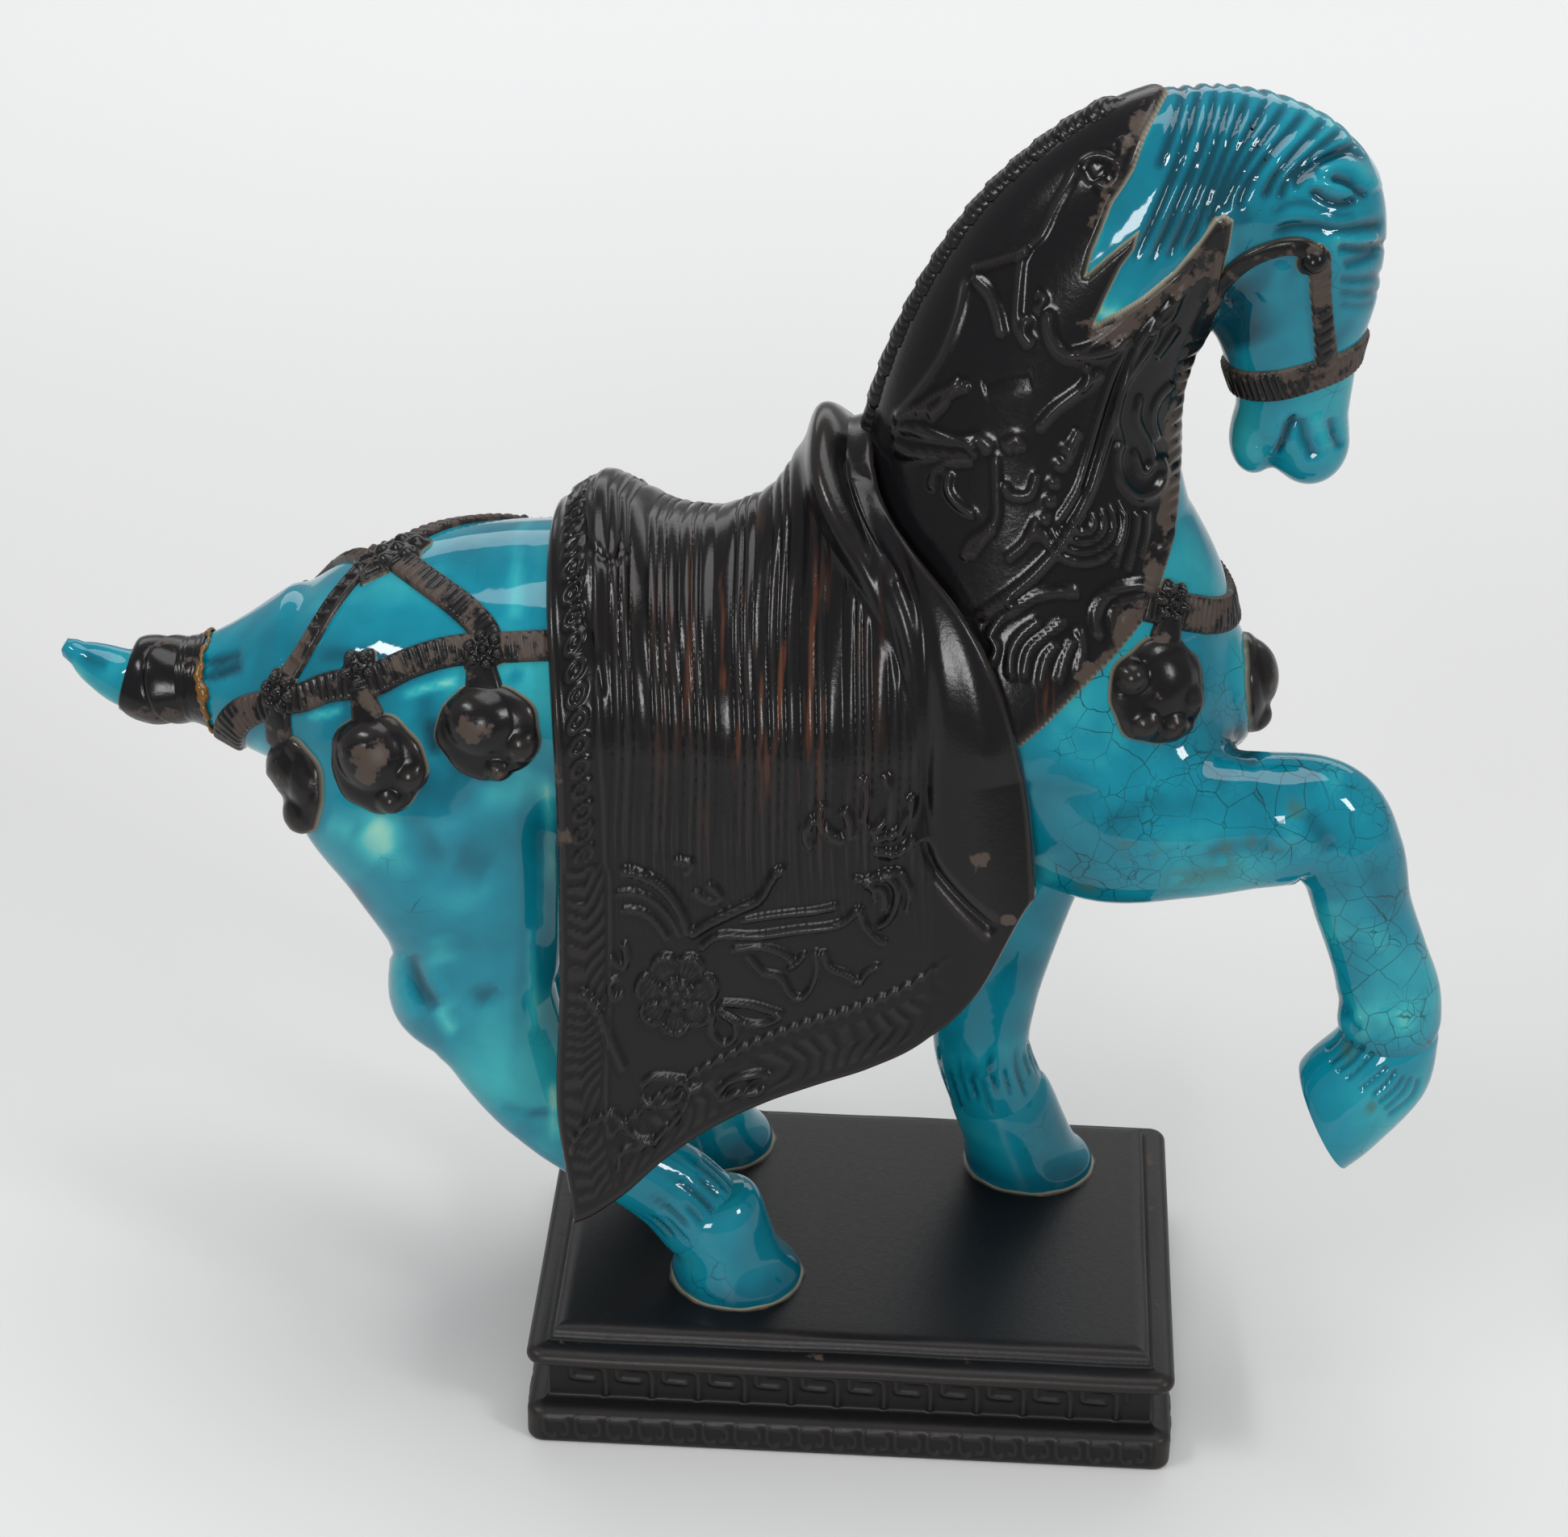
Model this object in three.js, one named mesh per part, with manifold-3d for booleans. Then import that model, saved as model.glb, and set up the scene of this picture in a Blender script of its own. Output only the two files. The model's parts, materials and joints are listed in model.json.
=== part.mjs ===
// A glazed porcelain horse with one foreleg raised, in a dark unglazed saddle cloth and neck cloth,
// on a moulded rectangular plinth. Millimetres, +Z up, +X towards the head, the near side at -Y.
// The origin is the centre of the plinth's underside.
import * as THREE from "three";
import { mergeVertices } from "three/addons/utils/BufferGeometryUtils.js";
import Module from "manifold-3d";

const wasm = await Module();
wasm.setup();

const glazeColour = 0x1b8ba6;
const biscuitColour = 0x2a2829;

// The plinth's profile from its underside up: foot band, frieze, rounded lip and raised top panel.
const plinth = {
  length: 176,
  depth: 122,
  height: 34,
  corner: 5,
  steps: [
    { z: 0, inset: 0.8 },
    { z: 1.2, inset: 0 },
    { z: 8.2, inset: 0 },
    { z: 11.4, inset: 3 },
    { z: 12.2, inset: 6 },
    { z: 24.6, inset: 6 },
    { z: 25, inset: 2 },
    { z: 27, inset: 0.8 },
    { z: 29.4, inset: 2.2 },
    { z: 30.4, inset: 6.4 },
    { z: 32.8, inset: 7.6 },
    { z: 34, inset: 10 },
  ],
};
// The fret on the frieze, whose face lies at this inset.
const fret = { inset: 6, pitch: 12.4, stroke: 1.8, relief: 0.7, low: 12.4, high: 24.4, bar: 18.4 };
const seatGap = 0.3; // between the hooves and the plinth
const beyondHorse = 300; // a reach from the origin that clears the whole horse

// Stations of each limb: centre x, y, z, half the size across the path, half the width along Y.
const torso = [
  [-178, 0, 200, 8, 9],
  [-160, 0, 200, 18, 22],
  [-143, 0, 202, 25, 33],
  [-126, 0, 205, 31.5, 39],
  [-105, 0, 207.5, 35.5, 42],
  [-75, 0, 208, 38, 43],
  [-40, 0, 206, 40, 43],
  [0, 0, 205, 43, 42],
  [35, 0, 206, 45, 41],
  [60, 0, 207, 42, 37],
  [80, 0, 209, 32, 30],
  [92.5, 0, 211, 15, 15],
];
const neck = [
  [34, 0, 205, 59, 38],
  [37, 0, 233, 54, 35],
  [36, 0, 262, 42, 30],
  [37, 0, 285, 37, 26],
  [43, 0, 307, 34, 24],
  [52, 0, 326, 31, 23],
  [65, 0, 342, 27, 22],
  [80, 0, 351, 22.5, 21],
  [92, 0, 355, 15, 17],
];
const head = [
  [80, 0, 360, 10, 11],
  [88, 0, 354, 18.5, 18],
  [97, 0, 342, 22.5, 20],
  [100, 0, 325, 20.5, 18],
  [100, 0, 309, 17.5, 15],
  [101.5, 0, 295, 14.5, 13],
  [101.5, 0, 284, 13, 12.5],
  [101.5, 0, 279, 7, 9],
];
const tail = [
  [-150, 0, 204, 20, 22],
  [-166, 0, 201.5, 14.5, 16],
  [-177, 0, 200, 11, 12],
  [-188, 0, 199.5, 10.5, 11],
  [-199, 0, 199, 9, 9],
  [-206, 0, 203, 5.5, 5.5],
  [-212, 0, 208, 1, 1],
];
const nearHindLeg = [
  [-124, -20, 204, 22, 16],
  [-120, -24, 188, 30, 20],
  [-110.5, -27, 165, 25.5, 18],
  [-104, -28, 143, 20.5, 15],
  [-100, -28, 124, 18.5, 13.5],
  [-91, -28, 102, 16, 12.5],
  [-80, -28, 86, 13, 11.5],
  [-64, -27, 73, 12, 11.5],
  [-50, -26, 62, 12.5, 12],
  [-42, -26, 53, 13, 13],
];
const farHindLeg = nearHindLeg.map(([x, y, z, half, wide]) => [
  x - (10 * (204 - z)) / 150,
  -y + (10 * (204 - z)) / 150,
  z,
  half,
  wide,
]);
const standingForeleg = [
  [46, 24, 190, 24, 14],
  [45, 28, 160, 22, 14],
  [40, 31, 135, 18.5, 13],
  [36, 32, 112, 16, 12.5],
  [33, 33, 92, 14.5, 12],
  [32.5, 33, 74, 13.5, 12.5],
  [38, 33, 57, 13.5, 13],
];
const raisedForeleg = [
  [44, -22, 190, 24, 15],
  [62, -26, 186, 25, 17],
  [82, -28, 186, 21.5, 16],
  [100, -29, 187.5, 18.5, 14.5],
  [115, -29, 187.5, 17, 13.5],
  [123.5, -29, 177.5, 14, 12.5],
  [128, -29, 163, 12.5, 11.5],
  [133.5, -29, 148, 12.5, 11.5],
  [137, -29, 136, 13.5, 12],
  [138, -29, 122, 13.5, 12.5],
];

// Joints that stand out of the legs: place, half sizes, turn about Y.
const joints = [
  { at: [-111, -28, 125], half: [14, 12, 16], turn: 0.3 },
  { at: [-116, 34, 125], half: [14, 12, 16], turn: 0.3 },
];

// Each hoof from its hair line to its sole: the two ends of each oval in X and Z, middle y, half width.
const hooves = [
  [
    { ends: [[-56, 52], [-27, 60]], y: -26, wide: 13 },
    { ends: [[-50, 44], [-21, 44]], y: -26, wide: 14.5 },
    { ends: [[-50.5, 33], [-14.5, 33]], y: -25.5, wide: 17 },
  ],
  [
    { ends: [[-67, 52], [-38, 60]], y: 37, wide: 13 },
    { ends: [[-61, 44], [-32, 44]], y: 37, wide: 14.5 },
    { ends: [[-61, 33], [-26, 33]], y: 37.5, wide: 16.5 },
  ],
  [
    { ends: [[24, 55], [53, 59]], y: 33, wide: 13.5 },
    { ends: [[28, 44], [60, 43]], y: 33, wide: 15 },
    { ends: [[29, 33], [66, 33]], y: 33.5, wide: 16.5 },
  ],
  [
    { ends: [[123, 122], [151, 124]], y: -29, wide: 12.5 },
    { ends: [[118, 116], [149, 108]], y: -29, wide: 14 },
    { ends: [[116, 111], [129.5, 83]], y: -29, wide: 15 },
  ],
];

// The muzzle: the upper lip and the hanging lower lip, as ovals with their half sizes.
const lips = [
  { at: [106.5, 0, 281], half: [10, 12.5, 11] },
  { at: [93, 0, 281.5], half: [6.5, 9.5, 9.5] },
];
const lids = [
  { at: [104, 14.5, 352], half: [7.5, 5, 3.4], turn: -0.35 },
  { at: [102, 13, 359], half: [9, 5, 3], turn: -0.45 },
];

// The saddle cloth: its height along the back, its edges at each height, its hem and its pleats. It's
// thick where the horse fills it and thin at its hem.
const cloth = {
  thick: [9, 4.5],
  innerTop: 244,
  innerHem: 6,
  shoulder: 206,
  flare: 4,
  width: 47,
  rise: [250, 257, 261, 257, 252, 250, 250, 252, 257, 268, 281, 277, 281],
  riseFrom: -84,
  riseTo: -2,
  rearEdge: [-75, -79, -78, -78, -79, -82, -85],
  frontEdge: [44, 43.5, 43.5, 43, 38, 25, -4],
  edgeFrom: 66,
  edgeTo: 284,
  hem: [66, 75, 88, 99, 107.5, 114, 120, 129, 146, 174],
  pleats: { count: 18, depth: 0.9, until: 0.78, from: 150, fade: 18 },
  roll: 3,
  spread: [0, 0.17, 0.34, 0.5, 0.75, 1],
};

// The neck cloth's outline on the side of the neck, with the two glazed tongues at its top.
const neckCloth = {
  proud: 1.6,
  outline: [
    [66, 390],
    [61, 364],
    [49, 338],
    [60, 344],
    [53, 321],
    [73, 340],
    [83, 350],
    [75, 318],
    [74, 282],
    [71, 249],
    [56, 227],
    [37, 206],
    [8, 206],
    [-20, 292],
    [0, 340],
    [30, 385],
  ],
};
const braid = { from: 0.27, to: 0.74, locks: 14, half: [2, 3.4], wide: [2.4, 4], sink: 1 };
const mane = { from: 0.6, to: 0.95, locks: 7, depth: 1.5 };

// Harness bands: the line that each follows, its width, and which side surface carries it.
const straps = [
  { on: "rump", line: [[-162, 201], [-150, 212], [-138, 217], [-117, 225], [-96, 231]], width: 8.5 },
  { on: "rump", line: [[-148, 217], [-136, 230], [-123, 236.5]], width: 6 },
  { on: "rump", line: [[-124, 236.5], [-111, 236], [-98, 232]], width: 8 },
  { on: "head", line: [[82, 330], [87, 338], [96, 342], [104, 338]], width: 4.5 },
  { on: "head", line: [[104, 338], [105, 327], [108, 306]], width: 4.5 },
  { on: "neck", line: [[68, 318], [62, 285], [50, 256], [30, 238]], width: 2.6 },
];
const strapProud = { rump: 2.2, neck: 2.6, head: 1.4 };
const strapBuried = 2.5;
const noseband = { proud: 1.4, from: 0.56, to: 0.69 };
const chestBand = { proud: 2, outline: [[62, 244], [110, 228], [110, 237], [62, 253]] };

const bells = [
  { at: [-146, 35, 194], tilt: 0.55 },
  { at: [-123, 42, 203], tilt: 0.1 },
  { at: [-95, 43, 213], tilt: 0 },
  { at: [71, 33, 228], tilt: -0.4 },
];
const bell = { radius: 13.2, proud: 6.5, chest: [93, 0, 212] };
const studs = [
  [-149, 31, 214, 5.5],
  [-128, 38, 221, 5.5],
  [-97, 36, 232, 6],
  [72, 27, 247, 5.5],
];

// The tail's bandage, as turns along the tail.
const bandage = { from: 0.46, to: 0.76, turns: 3, proud: [0.4, 2] };

// The flower and leaves carved on the skirt of the saddle cloth: x, z, length and turn.
const flower = { at: [-48, 140], petals: 6, reach: 12.5, waist: 8, eye: 4.5, proud: 1.6 };
const leaves = [
  [-24, 140, 24, 0.35],
  [0, 148, 20, 0.3],
  [-66, 112, 18, 1.9],
  [-54, 98, 18, 0.8],
  [-34, 114, 18, 0.4],
];

// A smooth value at t, from 0 to 1, through equally spaced values.
function smooth(values, t) {
  const last = values.length - 1;
  const place = Math.min(Math.max(t, 0), 1) * last;
  const i = Math.min(Math.floor(place), last - 1);
  const s = place - i;
  const [a, b, c, d] = [i - 1, i, i + 1, i + 2].map((k) => values[Math.min(Math.max(k, 0), last)]);
  return b + 0.5 * s * (c - a + s * (2 * a - 5 * b + 4 * c - d + s * (3 * (b - c) + d - a)));
}

function mix(low, high, t) {
  return low + (high - low) * t;
}

// Where value lies between low and high, from 0 to 1.
function share(value, low, high) {
  return Math.min(Math.max((value - low) / (high - low), 0), 1);
}

function steps(count) {
  return [...Array(count + 1).keys()].map((i) => i / count);
}

// The limb's centre, directions and half sizes at t along its stations.
function stationAt(stations, t) {
  const value = (field, at) => smooth(stations.map((row) => row[field]), at);
  const centre = (at) => new THREE.Vector3(value(0, at), value(1, at), value(2, at));
  const small = 1e-3;
  const along = centre(Math.min(t + small, 1)).sub(centre(Math.max(t - small, 0))).normalize();
  const side = new THREE.Vector3(0, 1, 0).addScaledVector(along, -along.y).normalize();
  const across = new THREE.Vector3().crossVectors(along, side);
  return { centre: centre(t), side, across, half: value(3, t), wide: value(4, t) };
}

function geometry(positions, faces) {
  const made = new THREE.BufferGeometry();
  made.setAttribute("position", new THREE.Float32BufferAttribute(positions, 3));
  made.setIndex(faces);
  return made;
}

// A closed three.js geometry as a solid that can be joined and cut.
function solid(shape) {
  const bare = shape.clone();
  bare.deleteAttribute("normal");
  bare.deleteAttribute("uv");
  const merged = mergeVertices(bare, 1e-4);
  return new wasm.Manifold(
    new wasm.Mesh({
      numProp: 3,
      vertProperties: merged.attributes.position.array,
      triVerts: new Uint32Array(merged.index.array),
    }),
  );
}

function geometryOf(made) {
  const mesh = made.getMesh();
  return geometry(Array.from(mesh.vertProperties), Array.from(mesh.triVerts));
}

// Rings of points joined into a closed tube, each end closed by a fan round the ring's middle.
function tube(rings) {
  const sides = rings[0].length;
  const positions = rings.flat();
  const faces = [];
  for (let i = 0; i < rings.length - 1; i++) {
    for (let j = 0; j < sides; j++) {
      const [a, b] = [i * sides + j, i * sides + ((j + 1) % sides)];
      faces.push(a, a + sides, b, b, a + sides, b + sides);
    }
  }
  for (const [ring, turned] of [[0, false], [rings.length - 1, true]]) {
    const middle = rings[ring].reduce((sum, p) => sum.add(p), new THREE.Vector3());
    positions.push(middle.divideScalar(sides));
    for (let j = 0; j < sides; j++) {
      const [a, b] = [ring * sides + j, ring * sides + ((j + 1) % sides)];
      faces.push(positions.length - 1, ...(turned ? [b, a] : [a, b]));
    }
  }
  return solid(geometry(positions.flatMap((p) => p.toArray()), faces));
}

function oval(centre, across, side, sides) {
  return [...Array(sides).keys()].map((j) => {
    const angle = (2 * Math.PI * j) / sides;
    const point = centre.clone().addScaledVector(across, Math.cos(angle));
    return point.addScaledVector(side, Math.sin(angle));
  });
}

// A limb: an oval carried along its stations at the given places, with grow added to its half sizes.
function limb(stations, places, sides, grow = () => 0) {
  return tube(
    places.map((t) => {
      const { centre, across, side, half, wide } = stationAt(stations, t);
      const extra = grow(t);
      const [tall, broad] = [half + extra, wide + extra];
      return oval(centre, across.multiplyScalar(tall), side.multiplyScalar(broad), sides);
    }),
  );
}

// A hoof: ovals between pairs of points in X and Z.
function hoof(ovals, sides) {
  return tube(
    ovals.map(({ ends: [[ax, az], [bx, bz]], y, wide }) => {
      const centre = new THREE.Vector3((ax + bx) / 2, y, (az + bz) / 2);
      const across = new THREE.Vector3((ax - bx) / 2, 0, (az - bz) / 2);
      return oval(centre, across.negate(), new THREE.Vector3(0, wide, 0), sides);
    }),
  );
}

// An oval lump with the given half sizes, turned about Y.
function lump(at, half, turn = 0, sides = 8, rings = 6) {
  const made = new THREE.SphereGeometry(1, sides, rings);
  return solid(made.scale(...half).rotateY(turn).translate(...at));
}

// An outline in X and Z, extruded through both sides.
function plate(outline) {
  const shape = new THREE.Shape(outline.map(([x, z]) => new THREE.Vector2(x, z)));
  const made = new THREE.ExtrudeGeometry(shape, { depth: 2 * beyondHorse, bevelEnabled: false });
  return solid(made.rotateX(Math.PI / 2).translate(0, beyondHorse, 0));
}

// The point and outward direction of a limb's side surface at x and z.
function skin(stations, x, z, side) {
  let best = { miss: Infinity };
  for (const t of steps(160)) {
    const s = stationAt(stations, t);
    const gap = new THREE.Vector3(x - s.centre.x, 0, z - s.centre.z);
    const along = Math.abs(gap.x * s.across.z - gap.z * s.across.x);
    if (along < best.miss) {
      best = { miss: along, s, off: gap.dot(s.across) };
    }
  }
  const { s, off } = best;
  const rise = Math.min(Math.abs(off / s.half), 0.97) * Math.sign(off);
  const out = Math.sqrt(1 - rise * rise);
  const normal = s.across.clone().multiplyScalar(rise / s.half);
  normal.y += (side * out) / s.wide;
  return { point: new THREE.Vector3(x, s.centre.y + side * s.wide * out, z), normal: normal.normalize() };
}

// A flat band of the given width that follows a line over a limb's side surface.
function strap(stations, line, width, proud, side) {
  const count = line.length > 3 ? line.length - 1 : 3;
  const spots = steps(count).map((t) => {
    const [x, z] = [0, 1].map((k) => smooth(line.map((p) => p[k]), t));
    return skin(stations, x, z, side);
  });
  const rings = spots.map(({ point, normal }, i) => {
    const [before, after] = [spots[Math.max(i - 1, 0)], spots[Math.min(i + 1, count)]];
    const along = after.point.clone().sub(before.point).normalize();
    const over = new THREE.Vector3().crossVectors(normal, along).normalize();
    const corner = (u, v) => point.clone().addScaledVector(over, (u * width) / 2).addScaledVector(normal, v);
    const [top, foot] = [0.8, 1];
    return [
      corner(top, proud),
      corner(foot, -strapBuried),
      corner(-foot, -strapBuried),
      corner(-top, proud),
    ];
  });
  return tube(rings);
}

function strapSolids() {
  const surfaces = { rump: torso, neck, head };
  return straps.flatMap(({ on, line, width }) =>
    [-1, 1].map((side) => strap(surfaces[on], line, width, strapProud[on], side)),
  );
}

// How far the cloth stands out at u along it and height z: pleats behind, a broad roll in front.
function clothRelief(u, z) {
  const { pleats, roll } = cloth;
  if (u < pleats.until) {
    const wave = Math.cos((2 * Math.PI * pleats.count * u) / pleats.until);
    return pleats.depth * wave * share(z, pleats.from, pleats.from + pleats.fade);
  }
  return roll * Math.sin((Math.PI * (u - pleats.until)) / (1 - pleats.until));
}

// The saddle cloth's face at u from rear to front and v from near hem (-1) to far hem (1).
// The outer face carries the relief; the inner one lies deeper and reaches lower.
function clothPoint(u, v, outer) {
  const drop = Math.max(Math.abs(v) * 2 - 1, 0);
  const arch = Math.min(Math.abs(v) * 2, 1) * (Math.PI / 2);
  const edge = (z) => {
    const t = share(z, cloth.edgeFrom, cloth.edgeTo);
    return mix(smooth(cloth.rearEdge, t), smooth(cloth.frontEdge, t), u);
  };
  const top = outer ? smooth(cloth.rise, u) : cloth.innerTop;
  const hem = smooth(cloth.hem, u) - (outer ? 0 : cloth.innerHem);
  const z = drop > 0 ? mix(cloth.shoulder, hem, drop) : mix(cloth.shoulder, top, Math.cos(arch));
  const width = cloth.width + cloth.flare * drop;
  const out = drop > 0 ? width : width * Math.sin(arch);
  const move = outer ? clothRelief(u, z) : -mix(...cloth.thick, drop);
  const lean = drop > 0 ? Math.PI / 2 : arch;
  const ridge = mix(cloth.riseFrom, cloth.riseTo, u);
  return new THREE.Vector3(
    drop > 0 ? edge(z) : mix(edge(z), ridge, Math.cos(arch) ** 4),
    (out + move * Math.sin(lean)) * Math.sign(v),
    z + move * Math.cos(lean),
  );
}

// One face of the cloth closed across its underside, as a solid.
function clothCore(places, outer) {
  const spread = cloth.spread.map((v) => -v).reverse().concat(cloth.spread.slice(1));
  return tube(places.map((u) => spread.map((v) => clothPoint(u, v, outer))));
}

function clothSolid() {
  const { pleats } = cloth;
  const behind = steps(2 * pleats.count).map((t) => t * pleats.until);
  const front = steps(4).map((t) => mix(pleats.until, 1, t));
  const beyond = steps(7).map((t) => mix(-0.04, 1.04, t));
  return clothCore(behind.concat(front.slice(1)), true).subtract(clothCore(beyond, false));
}

// The part of a grown limb that lies inside an outline, on both sides.
function raised(stations, places, sides, proud, outline) {
  return limb(stations, places, sides, () => proud).intersect(plate(outline));
}

// The neck's rings: evenly spaced below the mane, two to a lock where the mane shows.
function neckPlaces() {
  const below = steps(9).map((t) => t * mane.from);
  const locks = steps(2 * mane.locks).map((t) => mix(mane.from, mane.to, t));
  return [...below, ...locks.slice(1), 1];
}

function maneLock(t) {
  const place = ((t - mane.from) / (mane.to - mane.from)) * mane.locks;
  return t < mane.from || t > mane.to ? 0 : -mane.depth * (0.5 - 0.5 * Math.cos(2 * Math.PI * place));
}

// The braid along the crest of the neck: a tube that swells at each lock.
function braidSolid() {
  const rings = steps(2 * braid.locks).map((t, i) => {
    const { centre, across, side, half } = stationAt(neck, mix(braid.from, braid.to, t));
    const crest = centre.addScaledVector(across, half - braid.sink);
    const [tall, broad] = [braid.half[i % 2], braid.wide[i % 2]];
    return oval(crest, across.multiplyScalar(tall), side.multiplyScalar(broad), 4);
  });
  return tube(rings);
}

function bellSolids() {
  return [-1, 1].flatMap((side) =>
    bells.map(({ at: [x, y, z], tilt }) => {
      const dome = new THREE.SphereGeometry(1, 9, 4).scale(bell.radius, bell.proud, bell.radius);
      return solid(dome.rotateZ(-tilt * side).translate(x, side * y, z));
    }),
  );
}

// The bell in the middle of the chest, which faces forwards.
function chestBell() {
  const dome = new THREE.SphereGeometry(1, 9, 4).scale(bell.radius, bell.proud, bell.radius);
  return solid(dome.rotateZ(Math.PI / 2).translate(...bell.chest));
}

function studSolids() {
  return [-1, 1].flatMap((side) =>
    studs.map(([x, y, z, radius]) => lump([x, side * y, z], [radius, 4, radius], 0, 6, 3)),
  );
}

// The tail's rings, with the bandage's turns standing out of it.
function tailSolid() {
  const { from, to, turns, proud } = bandage;
  const places = steps(2 * turns).map((t) => mix(from, to, t));
  const before = steps(4).map((t) => t * (from - 0.01));
  const after = steps(3).map((t) => mix(to + 0.01, 1, t));
  return limb(tail, [...before, ...places, ...after], 10, (t) => {
    const turn = places.indexOf(t);
    return turn < 0 ? 0 : proud[turn % 2];
  });
}

// The head's rings, with the noseband standing out of it.
function headSolid() {
  const { from, to, proud } = noseband;
  const edges = [from - 0.012, from, to, to + 0.012];
  const others = steps(11).filter((t) => t < edges[0] || t > edges[3]);
  const places = [...others, ...edges].sort((a, b) => a - b);
  return limb(head, places, 14, (t) => (t >= from && t <= to ? proud : 0));
}

// A flat six-petalled flower and leaves standing out of the skirt on both sides.
function carvingSolids() {
  const face = cloth.width + cloth.flare * 0.55;
  const { at, petals, reach, waist, eye, proud } = flower;
  const outline = steps(petals * 3)
    .slice(1)
    .map((t, i) => {
      const out = [reach, waist, reach][i % 3];
      return new THREE.Vector2(out * Math.cos(2 * Math.PI * t), out * Math.sin(2 * Math.PI * t));
    });
  return [-1, 1].flatMap((side) => {
    const disc = new THREE.ExtrudeGeometry(new THREE.Shape(outline), { depth: 4, bevelEnabled: false });
    disc.rotateX(Math.PI / 2).translate(at[0], side * (face + proud - 2) + 2, at[1]);
    const middle = lump([at[0], side * (face + proud), at[1]], [eye, 2, eye], 0, 6, 4);
    const sprays = leaves.map(([x, z, long, turn]) =>
      lump([x, side * (face - 0.4), z], [long / 2, 2.4, 2.8], -turn, 4, 2),
    );
    return [solid(disc), middle, ...sprays];
  });
}

function horse() {
  const pieces = [
    limb(torso, steps(12), 14),
    limb(neck, neckPlaces(), 14, maneLock),
    headSolid(),
    tailSolid(),
    limb(nearHindLeg, steps(13), 12),
    limb(farHindLeg, steps(13), 12),
    limb(standingForeleg, steps(9), 12),
    limb(raisedForeleg, steps(14), 12),
    ...joints.map(({ at, half, turn }) => lump(at, half, turn, 8, 5)),
    ...hooves.map((ovals) => hoof(ovals, 12)),
    ...lips.map(({ at, half }) => lump(at, half, 0, 10, 7)),
    ...lids.flatMap(({ at: [x, y, z], half, turn }) =>
      [-1, 1].map((side) => lump([x, side * y, z], half, -turn, 6, 3)),
    ),
    clothSolid(),
    raised(neck, steps(10), 14, neckCloth.proud, neckCloth.outline),
    raised(neck, steps(6), 12, chestBand.proud + neckCloth.proud, chestBand.outline),
    braidSolid(),
    ...strapSolids(),
    ...bellSolids(),
    chestBell(),
    ...studSolids(),
    ...carvingSolids(),
  ];
  const seat = plinth.height + seatGap;
  const floor = new THREE.BoxGeometry(2 * beyondHorse, 2 * beyondHorse, seat).translate(0, 0, seat / 2);
  return pieces.reduce((whole, piece) => whole.add(piece)).subtract(solid(floor));
}

// A rectangle with rounded corners, as a loop of points at height z.
function plinthLoop({ z, inset }) {
  const arc = 2;
  const radius = plinth.corner;
  const [halfX, halfY] = [plinth.length / 2 - inset - radius, plinth.depth / 2 - inset - radius];
  return [[1, 1], [-1, 1], [-1, -1], [1, -1]].flatMap(([sx, sy], corner) =>
    steps(arc).map((t) => {
      const angle = (Math.PI / 2) * (corner + t);
      return new THREE.Vector3(
        sx * halfX + radius * Math.cos(angle),
        sy * halfY + radius * Math.sin(angle),
        z,
      );
    }),
  );
}

// One key of the fret, standing out of the frieze: a stem down to a bar, and a stem down from its end.
function fretKey(x, face, turn) {
  const { stroke, relief, low, high, bar, pitch } = fret;
  const [right, half] = [pitch * 0.78, stroke / 2];
  const outline = [
    [0, high],
    [0, bar - half],
    [right - stroke, bar - half],
    [right - stroke, low],
    [right, low],
    [right, bar + half],
    [stroke, bar + half],
    [stroke, high],
  ];
  const shape = new THREE.Shape(outline.map(([u, v]) => new THREE.Vector2(u - right / 2, v)));
  const made = new THREE.ExtrudeGeometry(shape, { depth: relief + 1, bevelEnabled: false });
  return solid(made.rotateX(Math.PI / 2).translate(x, 1 - face, 0).rotateZ(turn));
}

function frieze() {
  const { inset, pitch } = fret;
  return [0, 1, 2, 3].flatMap((quarter) => {
    const [along, across] = quarter % 2 ? [plinth.depth, plinth.length] : [plinth.length, plinth.depth];
    const keys = Math.floor((along - 2 * inset - 2) / pitch);
    return steps(keys - 1).map((t) =>
      fretKey((t - 0.5) * (keys - 1) * pitch, across / 2 - inset, (quarter * Math.PI) / 2),
    );
  });
}

function plinthSolid() {
  const body = tube(plinth.steps.map((step) => plinthLoop(step).reverse()));
  return frieze().reduce((whole, key) => whole.add(key), body);
}

function piece(name, made, colour, roughness) {
  const mesh = new THREE.Mesh(
    geometryOf(made),
    new THREE.MeshStandardMaterial({ color: colour, roughness, metalness: 0 }),
  );
  mesh.name = name;
  return mesh;
}

const figurine = new THREE.Group();
figurine.add(piece("horse", horse(), glazeColour, 0.15));
figurine.add(piece("plinth", plinthSolid(), biscuitColour, 0.45));

export default figurine;
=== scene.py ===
import json

import bmesh
import bpy
import numpy as np
from mathutils import Matrix

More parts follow.
